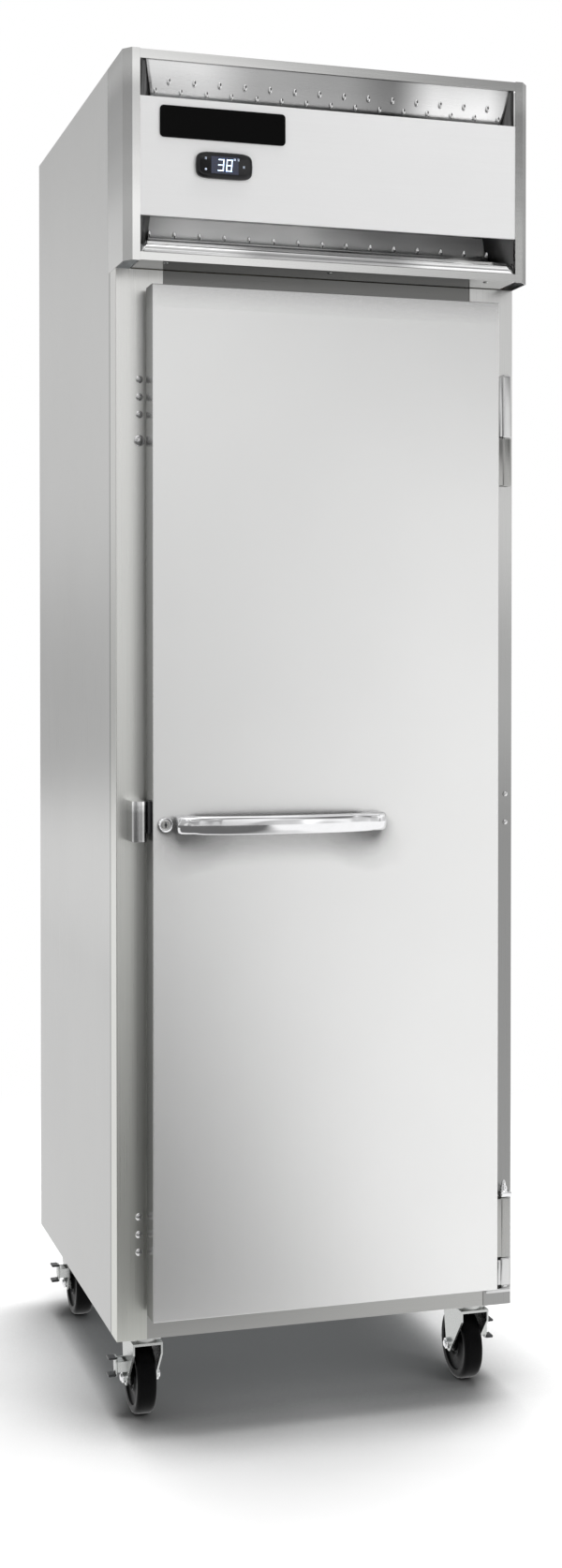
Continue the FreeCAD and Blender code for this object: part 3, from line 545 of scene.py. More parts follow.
def lock_guide():
    """Dark guide that the cam passes through on the door's edge."""
    low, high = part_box("door_skin")
    z0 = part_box("door_lock")[0].z - 0.0015
    bm = bmesh.new()
    for y0, y1 in ((high.y - 0.033, high.y - 0.0255), (high.y - 0.0115, high.y - 0.004)):
        block(bm, (low.x - 0.0055, y0, z0), (low.x, y1, z0 + 0.049), 0.0012, 2)
    for z1 in (z0, z0 + 0.045):
        block(bm, (low.x - 0.0055, high.y - 0.0265, z1), (low.x, high.y - 0.0105, z1 + 0.004), 0.001, 2)
    add_piece("lock_guide", bm, DARK_PLASTIC, "door")


def controller():
    """Rounded case, dark window, lit numerals and small generic marks."""
    low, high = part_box("controller_case")
    mid = (low + high) / 2
    half_x, half_z = (high.x - low.x) / 2, (high.z - low.z) / 2
    side_bulge = 0.0025
    bm = bmesh.new()
    rings = []
    for inset, y in ((0.0, high.y), (0.0, low.y + 0.003), (0.0006, low.y + 0.0014), (0.0022, low.y + 0.0004),
                     (0.004, low.y), (0.0052, low.y + 0.0003)):
        ring = []
        for u, v in squircle(1.0, 1.0, 64):
            bulge = side_bulge * (1 - abs(v) ** 2) * (abs(u) > 0.78)
            ring.append(Vector((mid.x + u * (half_x - side_bulge - inset) + math.copysign(bulge, u), y,
                                mid.z + v * (half_z - inset))))
        rings.append(ring)
    loft(bm, rings)
    add_piece("controller_shell", bm, BLACK_GLOSS, "cabinet", ("controller_case",), 40)

    low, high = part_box("controller_display")
    front_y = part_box("controller_case")[0].y
    bm = bmesh.new()
    block(bm, (low.x, front_y - 0.0003, low.z), (high.x, front_y + 0.0006, high.z), 0.0002, 1)
    add_piece("controller_window", bm, WINDOW, "cabinet", ("controller_display",), 30)
    bm = bmesh.new()
    height, width, stroke, slant, trim = 0.0185, 0.0098, 0.0021, 0.08, 0.00035
    segments = {"3": "abgcd", "8": "abcdefg"}
    z_mid = (low.z + high.z) / 2
    for digit, x0 in (("3", mid.x - 0.0118), ("8", mid.x + 0.0012)):
        bars = {
            "a": ((0, height - stroke), (width, height)), "b": ((width - stroke, height / 2), (width, height)),
            "c": ((width - stroke, 0), (width, height / 2)), "d": ((0, 0), (width, stroke)),
            "e": ((0, 0), (stroke, height / 2)), "f": ((0, height / 2), (stroke, height)),
            "g": ((0, (height - stroke) / 2), (width, (height + stroke) / 2)),
        }
        for key in segments[digit]:
            (u0, v0), (u1, v1) = bars[key]
            u0, v0, u1, v1 = u0 + trim, v0 + trim, u1 - trim, v1 - trim
            spots = ((u0, v0), (u1, v0), (u1, v1), (u0, v1))
            verts = [bm.verts.new((x0 + u + slant * v, front_y - 0.00065, z_mid - height / 2 + v))
                     for u, v in spots]
            deep = [bm.verts.new((v.co.x, front_y - 0.0003, v.co.z)) for v in verts]
            bm.faces.new(verts)
            for i in range(4):
                j = (i + 1) % 4
                bm.faces.new((verts[i], verts[j], deep[j], deep[i]))
    add_piece("controller_numerals", bm, NUMERALS, "cabinet", (), 20)
    bm = bmesh.new()
    marks = [(-0.03, 0.009), (-0.03, -0.0075), (0.0215, 0.0095), (0.0155, 0.0095), (0.03, -0.001)]
    for index, (dx, dz) in enumerate(marks):
        place = frame_matrix((mid.x + dx, front_y - 0.00055, mid.z + dz), (0, -1, 0), (1, 0, 0))
        if index % 2:
            lathe(bm, [(0.0006, -0.0004), (0.0006, 0), (0.0017, 0), (0.0017, -0.0004)], place, 20)
        else:
            for k in (-1, 0, 1):
                block(bm, (mid.x + dx - 0.0015, front_y - 0.00055, mid.z + dz + 0.0013 * k - 0.0003),
                      (mid.x + dx + 0.0015, front_y - 0.0002, mid.z + dz + 0.0013 * k + 0.0003), 0.0001, 1)
    add_piece("controller_marks", bm, MARKS, "cabinet", (), 20)


def plate():
    """Blank black nameplate with a fine raised rim."""
    low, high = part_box("nameplate")
    bm = bmesh.new()
    rings = []
    corner = 0.006
    for inset, y in ((0, high.y), (0, low.y + 0.0005), (0.0005, low.y), (0.0013, low.y),
                     (0.0017, low.y + 0.0004), (0.003, low.y + 0.0004)):
        ring = []
        for quarter, (sx, sz) in enumerate(((1, 1), (-1, 1), (-1, -1), (1, -1))):
            cx = (high.x if sx > 0 else low.x) - sx * corner
            cz = (high.z if sz > 0 else low.z) - sz * corner
            for k in range(7):
                a = math.pi / 2 * (quarter + k / 6)
                ring.append(Vector((cx + (corner - inset) * math.cos(a), y,
                                    cz + (corner - inset) * math.sin(a))))
        rings.append(ring)
    loft(bm, rings)
    add_piece("blank_nameplate", bm, BLACK_PLATE, "cabinet", ("nameplate",), 30)


def scoop_sheet(name, profile, inset_top, inset_low, material, replaces=()):
    """Curved polished sheet whose ends taper inwards."""
    low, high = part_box("upper_scoop")
    bm = bmesh.new()
    grid_x = 120
    rows = []
    for k, (y, z) in enumerate(profile):
        t = k / (len(profile) - 1)
        inset = inset_top + (inset_low - inset_top) * t
        x0, x1 = low.x + inset, high.x - inset
        rows.append([bm.verts.new((x0 + (x1 - x0) * i / grid_x, y, z)) for i in range(grid_x + 1)])
    for first, second in zip(rows, rows[1:]):
        for i in range(grid_x):
            bm.faces.new((first[i], first[i + 1], second[i + 1], second[i]))
    obj = add_piece(name, bm, material, "cabinet", replaces, 60)
    shell = obj.modifiers.new("sheet", "SOLIDIFY")
    shell.thickness = SHEET
    shell.offset = 1


def bezier(points, count):
    """Sample a smooth curve of any order through its control points."""
    out = []
    for i in range(count):
        t = i / (count - 1)
        row = [Vector(p) for p in points]
        while len(row) > 1:
            row = [a.lerp(b, t) for a, b in zip(row, row[1:])]
        out.append((row[0].x, row[0].y))
    return out


def header_scoops():
    """Both scoops with their lip, rows of punched slots and end cheeks."""
    low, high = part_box("upper_scoop")
    upper = bezier([(low.y - 0.004, high.z - 0.001), (low.y - 0.001, high.z - 0.044),
                    (low.y + 0.004, high.z - 0.068), (low.y + 0.022, low.z + 0.001),
                    (high.y - 0.001, low.z + 0.002)], 30)
    scoop_sheet("scoop_upper", upper, 0.009, 0.03, SCOOP, ("upper_scoop",))
    low2, high2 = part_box("lower_scoop")
    lip = [(low2.y + 0.001, low2.z + 0.0006), (low2.y + 0.0042, low2.z + 0.0095),
           (low2.y + 0.008, low2.z + 0.0185)]
    curve = bezier([(low2.y + 0.008, low2.z + 0.0185), (low2.y + 0.034, low2.z + 0.01),
                    (high2.y - 0.002, low2.z + 0.02), (high2.y - 0.001, high2.z)], 24)
    scoop_sheet("scoop_lower", curve, 0.012, 0.026, SCOOP_LOW, ("lower_scoop",))
    scoop_sheet("scoop_lip", lip, 0.001, 0.012, LIP)
    nubs, slots = bmesh.new(), bmesh.new()
    rows = ((upper, high.z - 0.054, 0.0264, 15), (upper, high.z - 0.04, 0.0464, 14),
            (curve, low2.z + 0.041, 0.0264, 15))
    for outline, height, start, count in rows:
        index = min(range(1, len(outline) - 1), key=lambda i: abs(outline[i][1] - height))
        (y0, z0), (y1, z1) = outline[index - 1], outline[index + 1]
        run = Vector((0, y1 - y0, z1 - z0)).normalized()
        facing = Vector((0, -abs(run.z), math.copysign(abs(run.y), -run.y * run.z)))
        for k in range(count):
            x = low.x + start + 0.04 * k
            place = frame_matrix((x, outline[index][0], outline[index][1]), facing, (1, 0, 0))
            lathe(nubs, [(0.0042, -0.001), (0.0042, 0.0008), (0.0036, 0.0024), (0.0018, 0.0034), (0.0, 0.0036)],
                  place @ Matrix.Diagonal((0.78, 1.6, 1, 1)), 24)
            lathe(slots, [(0.0, 0.0), (0.0015, 0.0), (0.0015, 0.0039), (0.0, 0.0039)],
                  place @ Matrix.Translation((0.0004, -0.0006, 0)) @ Matrix.Diagonal((0.7, 1.6, 1, 1)), 16)
    add_piece("scoop_nubs", nubs, NUB, "cabinet", (), 50)
    add_piece("scoop_slots", slots, SLOT_DARK, "cabinet", (), 50)
    # End cheeks close the tapered sides of both scoops.
    bm = bmesh.new()
    front_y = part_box("header_panel")[0].y + 0.006
    for sign in (-1, 1):
        outer = high.x * sign
        for outline in (upper, lip + curve[1:]):
            last = len(outline) - 1
            inset = 0.009 if outline is upper else 0.001
            inner_row = [bm.verts.new((outer - sign * (inset + (0.03 - inset) * k / last), y, z))
                         for k, (y, z) in enumerate(outline)]
            outer_row = [bm.verts.new((outer - sign * 0.0004, front_y, z)) for _, z in outline]
            for i in range(last):
                bm.faces.new((inner_row[i], inner_row[i + 1], outer_row[i + 1], outer_row[i]))
    cheeks = add_piece("scoop_cheeks", bm, CHEEK, "cabinet", (), 60)
    cheeks.modifiers.new("sheet", "SOLIDIFY").thickness = SHEET


def wheels():
    """Moulded wheel with a crowned tread, stepped side and hub, and hex nuts on the axle."""
    for corner in CORNERS:
        low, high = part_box(f"caster_wheel_{corner}")
        radius = (high.z - low.z) / 2
        half = 0.016
        mid = (low + high) / 2
        place = frame_matrix(mid, (1, 0, 0))
        side = [(0.0062, 0.0172), (0.0125, 0.0172), (0.0135, 0.0166), (0.014, 0.013), (0.0175, 0.0118),
                (0.02, 0.0142), (0.0215, 0.0146), (0.0232, 0.0134), (0.0262, 0.0118), (0.0395, 0.0118),
                (0.0425, 0.0124), (0.044, 0.0152), (0.05, 0.0158), (radius - 0.0055, 0.0158),
                (radius - 0.0028, 0.0146), (radius - 0.0008, 0.0118), (radius - 0.0002, 0.008),
                (radius, 0.004), (radius, 0.0)]
        profile = side + [(r, -h) for r, h in reversed(side[:-1])]
        bm = bmesh.new()
        lathe(bm, profile + [side[0]], place, 96)
        add_piece(f"wheel_{corner}", bm, RUBBER, f"wheel_{corner}", (f"caster_wheel_{corner}",), 32)
        bm = bmesh.new()
        for sign in (-1, 1):
            place = frame_matrix(mid + Vector((sign * (half + 0.0061), 0, 0)), (sign, 0, 0))
            lathe(bm, [(0.0, 0.0), (0.0118, 0.0), (0.0118, 0.0012), (0.0, 0.0012)], place, 40)
            nut = frame_matrix(mid + Vector((sign * (half + 0.0072), 0, 0)), (sign, 0, 0), (0, 0.8, 0.6))
            lathe(bm, [(0.0, 0.0), (0.0096, 0.0), (0.01, 0.0008), (0.01, 0.005), (0.0088, 0.0062),
                       (0.0, 0.0062)], nut, 6)
            lathe(bm, [(0.0058, 0.006), (0.0058, 0.008), (0.0046, 0.009), (0.0, 0.009)], nut, 24)
        add_piece(f"axle_nuts_{corner}", bm, CHROME, f"fork_{corner}", (), 30)


def sleeve(bm, place, levels, bore):
    """A rounded block along local Z, (height, half width, half depth) per level, with a round bore."""
    count = 40
    outer = [[place @ Vector((u, v, z)) for u, v in squircle(hu, hv, count)] for z, hu, hv in levels]
    inner = [[place @ Vector((u, v, z)) for u, v in circle(bore, count)]
             for z in (levels[-1][0], levels[0][0])]
    loft(bm, outer + inner + [outer[0]], cap=False)


def knuckle_levels(low, high, half):
    """Ends of a hinge knuckle, eased over."""
    ends = [(low, half - 0.0012, half - 0.0012), (low + 0.0009, half - 0.0003, half - 0.0003),
            (low + 0.002, half, half)]
    return ends + [(high - (z - low), u, v) for z, u, v in reversed(ends)]


def hinges():
    """Flat faced knuckles: fixed halves with pins and plates on the stile, bored halves on the door."""
    x, y = HINGE_X, HINGE_Y
    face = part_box("stile_right")[0].y
    half = 0.0085
    bm = bmesh.new()
    for low, high, pin_low, pin_high in ((1.559, 1.661, 1.4851, 1.586), (0.185, 0.23, 0.2205, 0.3099)):
        place = Matrix.Translation((x, y, 0))
        levels = knuckle_levels(low + 0.0001, high, half)
        if low > 1:
            levels = levels[:3] + [(high - 0.006, half, half), (high - 0.0025, half * 0.93, half * 0.97),
                                   (high - 0.0008, half * 0.72, half * 0.86), (high, half * 0.45, half * 0.6)]
        loft(bm, [[place @ Vector((u, v, z)) for u, v in squircle(hu, hv)] for z, hu, hv in levels])
        block(bm, (x - 0.0035, y, low + 0.0012), (x + 0.008, face - 0.0006, high - 0.003), 0.0012, 2)
        block(bm, (x - 0.013, y - 0.007, low + 0.0012), (x - 0.003, y + 0.006, high - 0.003), 0.0012, 2)
        block(bm, (x - 0.01, face - 0.003, low + 0.004), (x + 0.022, face + 0.0001, high - 0.004), 0.0012, 3)
        lathe(bm, [(0.0, pin_low), (0.0034, pin_low), (0.004, pin_low + 0.0008), (0.004, pin_high - 0.0008),
                   (0.0034, pin_high), (0.0, pin_high)], place, 28)
    block(bm, (x - 0.034, y - 0.01, 0.1745), (x + 0.009, face, 0.181), 0.0018, 3)
    lathe(bm, [(0.0, 0.1805), (0.006, 0.1805), (0.006, 0.1856), (0.0, 0.1856)], Matrix.Translation((x, y, 0)),
          28)
    add_piece("hinge_fixed_halves", bm, HINGE, "cabinet", ("hinge_frame_halves",), 32)
    bm = bmesh.new()
    block(bm, (x - 0.008, y - 0.009, 0.329), (x + 0.012, face, 0.337), 0.0022, 4)
    lathe(bm, [(0.0, 0.336), (0.0074, 0.336), (0.0074, 0.3376), (0.0058, 0.3392), (0.0056, 0.343),
               (0.0048, 0.3448), (0.0048, 0.3458), (0.0036, 0.3474), (0.0034, 0.3505), (0.0024, 0.354),
               (0.001, 0.3558), (0.0, 0.356)], Matrix.Translation((x, y, 0)), 32)
    add_piece("hinge_cap", bm, CHROME, "cabinet", (), 30)
    bm = bmesh.new()
    for low, high in ((1.481, 1.5582), (0.2308, 0.328)):
        place = Matrix.Translation((x, y, 0))
        sleeve(bm, place, knuckle_levels(low, high, half), 0.00415)
        block(bm, (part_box("door_skin")[1].x - 0.0003, y - 0.008, low + 0.001),
              (x - 0.006, y + 0.004, high - 0.001), 0.001, 2)
    add_piece("hinge_moving_halves", bm, HINGE_DARK, "door", ("hinge_door_halves",), 32)


def plate_screws():
    """Small fixing screws without a CAD node: hinge plates, header underside, back panel and grille."""
    bm = bmesh.new()
    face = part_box("stile_right")[0].y
    for z in (1.575, 1.61, 1.645, 0.197, 0.218):
        screw(bm, frame_matrix((HINGE_X + 0.0165, face - 0.003, z), (0, -1, 0)), 0.0034, 0.0014)
    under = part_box("header_frame")[0].z + 0.001
    for x in (-0.262, 0.0, 0.262):
        screw(bm, frame_matrix((x, -0.3395, under), (0, 0, -1)), 0.0042, 0.0018)
    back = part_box("back_panel")[1].y
    spots = [(x, 0.2 + 0.255 * k) for x in (-0.312, 0.312) for k in range(7)]
    spots += [(x, z) for x in (-0.156, 0.0, 0.156) for z in (0.16, 1.78)]
    spots += [(x, z) for x in (-0.312, 0.312) for z in (1.83, 1.963, 2.096)]
    for x, z in spots:
        screw(bm, frame_matrix((x, back, z), (0, 1, 0)), 0.0046, 0.0018)
    add_piece("panel_screws", bm, ZINC, "cabinet", (), 36)


def hex_bolt(bm, place, across, height):
    """Hexagon head on a washer."""
    lathe(bm, [(0.0, 0.0), (across * 0.66, 0.0), (across * 0.66, height * 0.16),
               (across * 0.56, height * 0.18), (0.0, height * 0.18)], place, 32)
    lathe(bm, [(0.0, height * 0.1), (across * 0.56, height * 0.1), (across * 0.578, height * 0.22),
               (across * 0.578, height * 0.84), (across * 0.5, height), (0.0, height)], place, 6)


def caster_hardware():
    """Brake rockers with ribbed pedals, and the bolts that hold the top plates."""
    bolts = bmesh.new()
    for corner in CORNERS:
        side = 1 if corner.endswith("right") else -1
        low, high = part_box(f"caster_brake_{corner}")
        mid_y = (low.y + high.y) / 2
        inner_x = low.x if side > 0 else high.x
        axis = Vector((inner_x + side * 0.008, mid_y, low.z + 0.017))
        bm = bmesh.new()
        place = frame_matrix(axis - Vector((0, 0.011, 0)), (0, 1, 0), (side, 0, 0))
        sleeve(bm, place, [(0.0, 0.0066, 0.0066), (0.001, 0.0076, 0.0076), (0.021, 0.0076, 0.0076),
                           (0.022, 0.0066, 0.0066)], 0.0032)
        x0, x1 = sorted((axis.x + side * 0.0045, axis.x + side * 0.0078))
        block(bm, (x0, mid_y - 0.008, low.z + 0.0004), (x1, mid_y + 0.008, high.z - 0.0004), 0.0012, 3)
        add_piece(f"brake_rocker_{corner}", bm, ZINC, f"brake_{corner}", (f"caster_brake_{corner}",),
                  34)
        bm = bmesh.new()
        tip = 0.0195
        for z_root, half_y, thick, lift in ((high.z - 0.0022, 0.0108, 0.0019, 0.0002),
                                            (low.z + 0.0026, 0.0098, 0.0023, -0.0002)):
            rings = []
            for k in range(33):
                t = k / 32
                x = axis.x + side * (0.0046 + (tip - 0.0048) * t)
                ridge = 0.00045 * (math.sin(t * math.pi * 9) > 0) if 0.25 < t < 0.96 else 0.0
                end = 1.0 if 0.04 < t < 0.96 else 0.75
                wide = half_y * (0.72 + 0.28 * min(1.0, t / 0.3)) * (1.0 if t < 0.9 else 1 - 1.2 * (t - 0.9))
                middle = z_root + lift * t
                rings.append([Vector((x, mid_y + u * wide, middle + v * (thick * end - 0.0004 + ridge)))
                              for u, v in squircle(1.0, 1.0, 24, 0.3)])
            loft(bm, rings)
        add_piece(f"brake_pedals_{corner}", bm, PEDAL, f"brake_{corner}", (), 40)
        swivel_x = (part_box(f"caster_wheel_{corner}")[0].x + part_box(f"caster_wheel_{corner}")[1].x) / 2
        swivel_y = SWIVEL_Y[corner.split("_")[0]]
        for dx in (-0.0375, 0.0375):
            for dy in (-0.0225, 0.0225):
                place = frame_matrix((swivel_x + dx, swivel_y + dy, 0.1481), (0, 0, -1))
                hex_bolt(bolts, place, 0.0085, 0.0052)
        lathe(bolts, [(0.0245, 0.1445), (0.03, 0.1445), (0.0312, 0.1452), (0.0312, 0.1478), (0.0245, 0.1484)],
              Matrix.Translation((swivel_x, swivel_y, 0)), 56)
    add_piece("caster_bolts", bolts, ZINC, "cabinet", (), 32)


def gasket():
    """Bellows gasket: dart side at the door, flat magnet head at the frame."""
    low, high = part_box("door_gasket")
    near, far = high.y, low.y
    profile = [(0.0006, far), (0.0006, far + 0.0022), (0.0034, far + 0.0038), (0.0004, far + 0.0056),
               (0.0004, near - 0.0012), (0.0014, near), (0.0166, near), (0.0176, near - 0.0012),
               (0.0176, far + 0.0056), (0.0146, far + 0.0038), (0.0176, far + 0.0022), (0.0176, far)]
    rings = []
    for sx, sz in ((1, 1), (-1, 1), (-1, -1), (1, -1)):
        cx, cz = (high.x if sx > 0 else low.x), (high.z if sz > 0 else low.z)
        rings.append([Vector((cx - sx * u, y, cz - sz * u)) for u, y in profile])
    bm = bmesh.new()
    loft(bm, rings + [rings[0]], cap=False)
    add_piece("gasket_bellows", bm, GASKET, "door", ("door_gasket",), 25)


def compressor():
    """Welded steel can with its seam, feet, terminal cover and pipe stubs."""
    low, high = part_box("compressor")
    mid = (low + high) / 2
    z0 = low.z
    shape = Matrix.Translation((mid.x, mid.y, 0)) @ Matrix.Diagonal((1.0, 0.96, 1.0, 1.0))
    bm = bmesh.new()
    lathe(bm, [(0.0, z0 + 0.012), (0.05, z0 + 0.0125), (0.068, z0 + 0.018), (0.078, z0 + 0.028),
               (0.0815, z0 + 0.042), (0.082, z0 + 0.078), (0.085, z0 + 0.0795), (0.0855, z0 + 0.0815),
               (0.085, z0 + 0.0835), (0.0825, z0 + 0.085), (0.082, z0 + 0.104), (0.078, z0 + 0.124),
               (0.068, z0 + 0.139), (0.05, z0 + 0.148), (0.025, z0 + 0.1515), (0.0, high.z)], shape, 72)
    block(bm, (mid.x - 0.09, mid.y - 0.06, z0 + 0.009), (mid.x + 0.09, mid.y + 0.06, z0 + 0.013), 0.0015, 2)
    block(bm, (mid.x - 0.06, mid.y - 0.086, z0 + 0.009), (mid.x + 0.06, mid.y + 0.086, z0 + 0.013), 0.0015, 2)
    add_piece("compressor_can", bm, ENAMEL, "cabinet", ("compressor",), 40)
    bm = bmesh.new()
    for sx in (-1, 1):
        for sy in (-1, 1):
            foot = Matrix.Translation((mid.x + sx * 0.078, mid.y + sy * 0.046, z0))
            lathe(bm, [(0.0, 0.0), (0.012, 0.0), (0.0125, 0.002), (0.0105, 0.005), (0.0125, 0.008),
                       (0.012, 0.0095), (0.0, 0.0095)], foot, 32)
            hex_bolt(bm, foot @ Matrix.Translation((0, 0, 0.0131)), 0.01, 0.006)
    block(bm, (mid.x - 0.026, low.y + 0.0005, z0 + 0.055), (mid.x + 0.026, mid.y - 0.07, z0 + 0.112), 0.004,
          3)
    add_piece("compressor_fittings", bm, DARK_PLASTIC, "cabinet", (), 34)
    bm = bmesh.new()
    tube(bm, [Vector((0.1215, 0.1985, z0 + 0.07)), Vector((0.13, 0.206, z0 + 0.07)),
              Vector((0.15, 0.218, z0 + 0.07))], 0.0055, 20)
    tube(bm, [Vector((0.2975, 0.1802, z0 + 0.06)), Vector((0.285, 0.185, z0 + 0.06)),
              Vector((0.262, 0.205, z0 + 0.06))], 0.005, 20)
    add_piece("compressor_stubs", bm, COPPER, "cabinet", (), 40)


def fans():
    """Moulded propellers: domed hub, shaft stub and four twisted blades."""
    for name, body, radius in (("condenser_fan", "condenser_fan_body", 0.0858),
                               ("evaporator_fan", "evaporator_fan_body", 0.0678)):
        low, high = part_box(name)
        mid = (low + high) / 2
        hub_y = high.y - 0.024
        place = frame_matrix((mid.x, hub_y, mid.z), (0, 1, 0), (1, 0, 0))
        bm = bmesh.new()
        lathe(bm, [(0.0, -0.009), (0.006, -0.0088), (0.012, -0.0075), (0.0152, -0.0048), (0.016, -0.001),
                   (0.016, 0.008), (0.0152, 0.009), (0.004, 0.009), (0.0039, 0.0238), (0.0, 0.024)], place,
              40)
        for quarter in range(4):
            rings = []
            for k in range(15):
                t = k / 14
                r = 0.0145 + (radius - 0.0145) * t
                pitch = math.radians(40 - 16 * t)
                swell = math.sin(math.pi * min(0.62, 0.22 + 0.5 * t))
                chord = radius * (0.34 + 0.66 * swell) * (1 - 0.35 * t ** 6)
                lean = 0.42 * t ** 1.6
                ring = []
                for u, v in circle(1.0, 16):
                    along = 0.5 * chord * u
                    off = 0.0009 * v + 0.06 * chord * (1 - u ** 2)
                    flat = along * math.cos(pitch) - off * math.sin(pitch)
                    rise = along * math.sin(pitch) + off * math.cos(pitch)
                    turn = quarter * math.pi / 2 + lean + flat / max(r, 0.024)
                    rise = max(-0.013, min(0.0125, rise * 0.8))
                    ring.append(place @ Vector((r * math.cos(turn), r * math.sin(turn), rise)))
                rings.append(ring)
            loft(bm, rings)
        add_piece(f"{name}_propeller", bm, DARK_PLASTIC, body, (name,), 40)


def lamp():
    """Ribbed lens on a shallow base."""
    low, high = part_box("interior_lamp")
    mid = (low + high) / 2
    half_y = (high.y - low.y) / 2
    bm = bmesh.new()
    rings = []
    count = 66
    for i in range(count + 1):
        t = i / count
        rib = 0.0006 * math.sin(t * math.pi * 44) if 0.06 < t < 0.94 else 0.0
        swell = min(1.0, math.sin(math.pi * min(t, 1 - t) * 6.2) if min(t, 1 - t) < 0.08 else 1.0)
        drop = (high.z - 0.005 - low.z) * (0.35 + 0.65 * max(0.0, swell)) + rib
        ring = []
        for k in range(20):
            a = math.pi * k / 19
            ring.append(Vector((low.x + 0.004 + (high.x - low.x - 0.008) * t,
                                mid.y - math.cos(a) * (half_y - 0.004),
                                high.z - 0.004 - drop * math.sin(a) ** 0.6)))
        rings.append(ring)
    loft(bm, rings)
    add_piece("lamp_lens_cover", bm, LENS, "cabinet", ("interior_lamp",), 30)
    bm = bmesh.new()
    block(bm, (low.x, low.y, high.z - 0.0045), (high.x, high.y, high.z), 0.0018, 3)
    add_piece("lamp_base", bm, GREY_PLASTIC, "cabinet", (), 30)


def machine_details():
    """Service box cover, gland and the shells' small fittings in the machine bay."""
    low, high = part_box("junction_box")
    bm = bmesh.new()
    block(bm, low + Vector((0.001, 0.001, 0)), high - Vector((0.001, 0.001, 0.012)), 0.0012, 2)
    block(bm, (low.x, low.y, high.z - 0.013), high, 0.0016, 3)
    for x in (low.x + 0.012, high.x - 0.012):
        for y in (low.y + 0.012, high.y - 0.012):
            screw(bm, frame_matrix((x, y, high.z), (0, 0, 1)), 0.004, 0.0018)
    for y in (low.y + 0.03, high.y - 0.03):
        lathe(bm, [(0.0, 0.0008), (0.0095, 0.0008), (0.01, 0.0), (0.0, 0.0)],
              frame_matrix((high.x - 0.001, y, low.z + 0.045), (1, 0, 0)), 32)
    add_piece("service_box", bm, GALVANISED, "cabinet", ("junction_box",), 34)
    low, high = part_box("cord_gland")
    mid = (low + high) / 2
    place = frame_matrix((mid.x, low.y, mid.z), (0, 1, 0), (1, 0, 0))
    bm = bmesh.new()
    ring = [(0.0055, 0.0), (0.0118, 0.0), (0.012, 0.0006), (0.0112, 0.0016), (0.012, 0.0026),
            (0.0112, 0.0036), (0.012, 0.0046), (0.0112, 0.0056), (0.012, 0.0066), (0.012, 0.0084),
            (0.015, 0.0084), (0.016, 0.0092), (0.016, 0.0136), (0.015, 0.0144), (0.0108, 0.0146),
            (0.0092, 0.0158), (0.007, 0.016), (0.0055, 0.015), (0.0055, 0.0)]
    lathe(bm, ring, place, 48)
    add_piece("cord_bushing", bm, DARK_PLASTIC, "cabinet", ("cord_gland",), 34)
    low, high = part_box("evaporator_housing")
    bm = bmesh.new()
    block(bm, (low.x - 0.001, low.y - 0.001, high.z - 0.03),
          (high.x + 0.001, high.y + 0.001, high.z - 0.0265), 0.0006, 1)
    for x in (low.x + 0.06, high.x - 0.06):
        block(bm, (x - 0.012, low.y - 0.0045, high.z - 0.052), (x + 0.012, low.y + 0.0002, high.z - 0.008),
              0.0014, 3)
        block(bm, (x - 0.006, low.y - 0.0065, high.z - 0.04), (x + 0.006, low.y - 0.003, high.z - 0.022),
              0.001, 2)
    add_piece("housing_latches", bm, ZINC, "cabinet", (), 30)


def soften(node, width, segments=2, angle=40):
    """Round the sharp edges of a CAD node."""
    modifier = nodes[node].modifiers.new("rolled_edges", "BEVEL")
    modifier.width = width
    modifier.segments = segments
    modifier.limit_method = "ANGLE"
    modifier.angle_limit = math.radians(angle)
    modifier.harden_normals = True


for make in (handle, fasteners, lock, lock_guide, controller, plate, header_scoops, wheels, hinges,
             plate_screws, caster_hardware, gasket, compressor, fans, lamp, machine_details):
    make()
SHEET_EDGE, PANEL_EDGE = 0.0006, 0.0014
for name in ("side_panel_left", "side_panel_right", "stile_left", "stile_right", "front_rails",
             "header_panel", "door_skin", "back_panel", "rear_grille", "header_frame"):
    soften(name, PANEL_EDGE if name in ("door_skin", "side_panel_left", "side_panel_right") else SHEET_EDGE)
for corner in CORNERS:
    soften(f"caster_fork_{corner}", 0.0007)
soften("strike", 0.0012)
soften("caster_plates", 0.0008)


# ---------------------------------------------------------------- camera
YAW, PITCH = math.radians(-16.73), math.radians(-0.98)
camera_data = bpy.data.cameras.new("camera")
camera_data.sensor_fit = "AUTO"
camera_data.sensor_width = 36
camera_data.lens = 45.5914
camera_data.shift_x = -0.000836
camera_data.shift_y = -0.053823
camera_data.clip_end = 60
camera = bpy.data.objects.new("camera", camera_data)
scene.collection.objects.link(camera)
camera.location = (-0.966, -3.296, 1.1916)
forward = Vector((math.sin(-YAW) * math.cos(PITCH), math.cos(-YAW) * math.cos(PITCH), math.sin(PITCH)))
camera.rotation_mode = "QUATERNION"
camera.rotation_quaternion = forward.to_track_quat("-Z", "Y")
scene.camera = camera


# ---------------------------------------------------------------- surroundings
def add_lobe(tree, total, vector, azimuth, elevation, power, amount):
    """Add a soft bright or dark patch round one direction; azimuth 0 is in front, 90 to the right."""
    a, e = math.radians(azimuth), math.radians(elevation)
    centre = (math.sin(a) * math.cos(e), -math.cos(a) * math.cos(e), math.sin(e))
    dot = add_node(tree, "VectorMath", {0: vector, 1: centre}, operation="DOT_PRODUCT").outputs["Value"]
    near = math_node(tree, "POWER", math_node(tree, "MAXIMUM", dot, 0.0), power)
    return math_node(tree, "ADD", total, math_node(tree, "MULTIPLY", near, amount))


def mix_shaders(tree, chooser, first, second):
    return add_node(tree, "MixShader", {"Fac": chooser, 1: first.outputs[0], 2: second.outputs[0]})


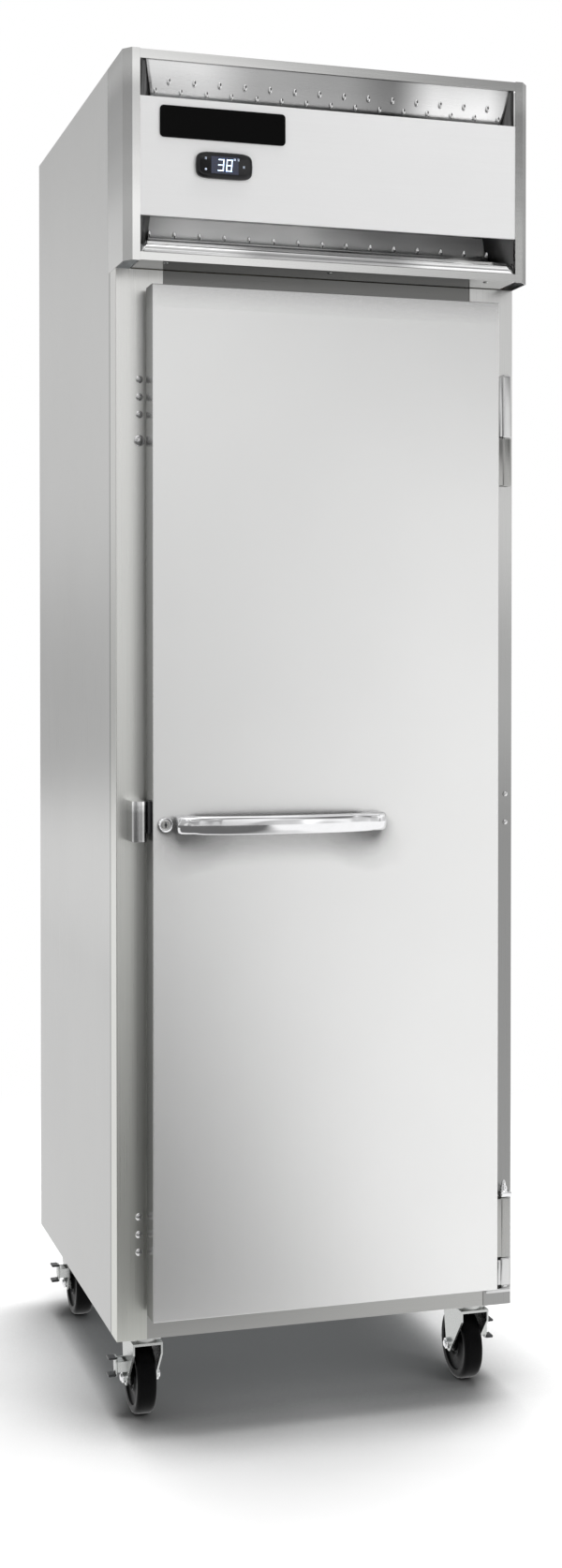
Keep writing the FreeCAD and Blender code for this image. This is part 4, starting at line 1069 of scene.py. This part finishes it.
# Softboxes and flags of the studio, seen in the metal only: azimuth, elevation, tightness, strength.
STUDIO = ((24, -2, 30, 0.8), (34, 17, 28, -0.58), (8, 14, 40, 0.18), (6, 42, 34, -0.62), (0, 80, 22, 0.9),
          (168, 14, 60, 0.58), (-60, 10, 20, 0.25), (75, 20, 12, 0.5))
AMBIENT = 0.3
world = bpy.data.worlds.new("studio")
scene.world = world
world.use_nodes = True
sky = world.node_tree
sky.nodes.clear()
direction = coordinate(sky, "Generated")
height = math_node(sky, "MULTIPLY_ADD", coordinate(sky, "Generated", "Z"), 0.5)
total = ramp(sky, height, 0.5, 0.95, 0.5, 0.95)
for patch in STUDIO:
    total = add_lobe(sky, total, direction, *patch)
patches = add_node(sky, "TexNoise", {"Scale": 3.4, "Detail": 1.0, "Vector": direction}).outputs["Fac"]
total = math_node(sky, "MULTIPLY", total, ramp(sky, patches, 0.62, 1.25, 0.44, 0.56))
seen, mirrored, ambient = (add_node(sky, "Background", {"Color": WHITE, "Strength": strength})
                           for strength in (1.0, total, AMBIENT))
rays = add_node(sky, "LightPath").outputs
soft = mix_shaders(sky, rays["Is Glossy Ray"], ambient, mirrored)
final = mix_shaders(sky, rays["Is Camera Ray"], soft, seen)
add_node(sky, "OutputWorld", {"Surface": final.outputs[0]})

floor_mesh = bpy.data.meshes.new("studio_floor")
floor = bpy.data.objects.new("studio_floor", floor_mesh)
scene.collection.objects.link(floor)
bm = bmesh.new()
bmesh.ops.create_grid(bm, x_segments=8, y_segments=8, size=14)
bm.to_mesh(floor_mesh)
bm.free()
floor_mat, tree, shader = new_material("studio_floor")
tone = ramp(tree, grain(tree, 3.0), 0.8, 0.82)
# Painted shadow: the floor's colour darkens where the object stands close above it.
feed(tree, shader, {"Base Color": paint_contact_shade(tree, tone, 0.25, 0.37), "Roughness": 0.9,
                    "Specular IOR Level": 0.0})
# Mirrored in the metal, the floor is bright near and behind the object, and darker far in front on the left.
across, depth = coordinate(tree, "Object", "X"), coordinate(tree, "Object", "Y")
slope = math_node(tree, "ADD", across, math_node(tree, "MULTIPLY", depth, 0.2))
right = reach(tree, slope, -0.45, 0.35, 0.15, 1.08, interpolation_type="SMOOTHSTEP")
near = reach(tree, depth, -0.92, -0.62, 0.0, 0.95, interpolation_type="SMOOTHSTEP")
glow_level = math_node(tree, "MAXIMUM", right, near)
# Far from the object the floor runs into the white background.
distance = add_node(tree, "VectorMath", {0: coordinate(tree, "Object")}, operation="LENGTH").outputs["Value"]
fade_out = reach(tree, distance, 0.75, 2.2, interpolation_type="SMOOTHSTEP")
glow, white = (add_node(tree, "Emission", {"Color": WHITE, "Strength": strength})
               for strength in (glow_level, 1.0))
far = mix_shaders(tree, fade_out, shader, white)
shown = mix_shaders(tree, add_node(tree, "LightPath").outputs["Is Glossy Ray"], far, glow)
feed(tree, tree.nodes["Material Output"], {"Surface": shown.outputs[0]})
floor_mesh.materials.append(floor_mat)


def softbox(name, place, target, width, height, power):
    """A lamp that lights the object but isn't mirrored in it."""
    data = bpy.data.lights.new(name, "AREA")
    data.shape = "RECTANGLE"
    data.size = width
    data.size_y = height
    data.energy = power
    light = bpy.data.objects.new(name, data)
    light.location = place
    light.rotation_mode = "QUATERNION"
    light.rotation_quaternion = (Vector(target) - Vector(place)).to_track_quat("-Z", "Y")
    light.visible_glossy = False
    scene.collection.objects.link(light)


softbox("top", (0.3, 0.7, 5.2), (0, 0, 0), 4.2, 3.6, 520)
softbox("key", (2.6, -3.8, 3.4), (0, 0, 1.1), 2.0, 2.0, 60)
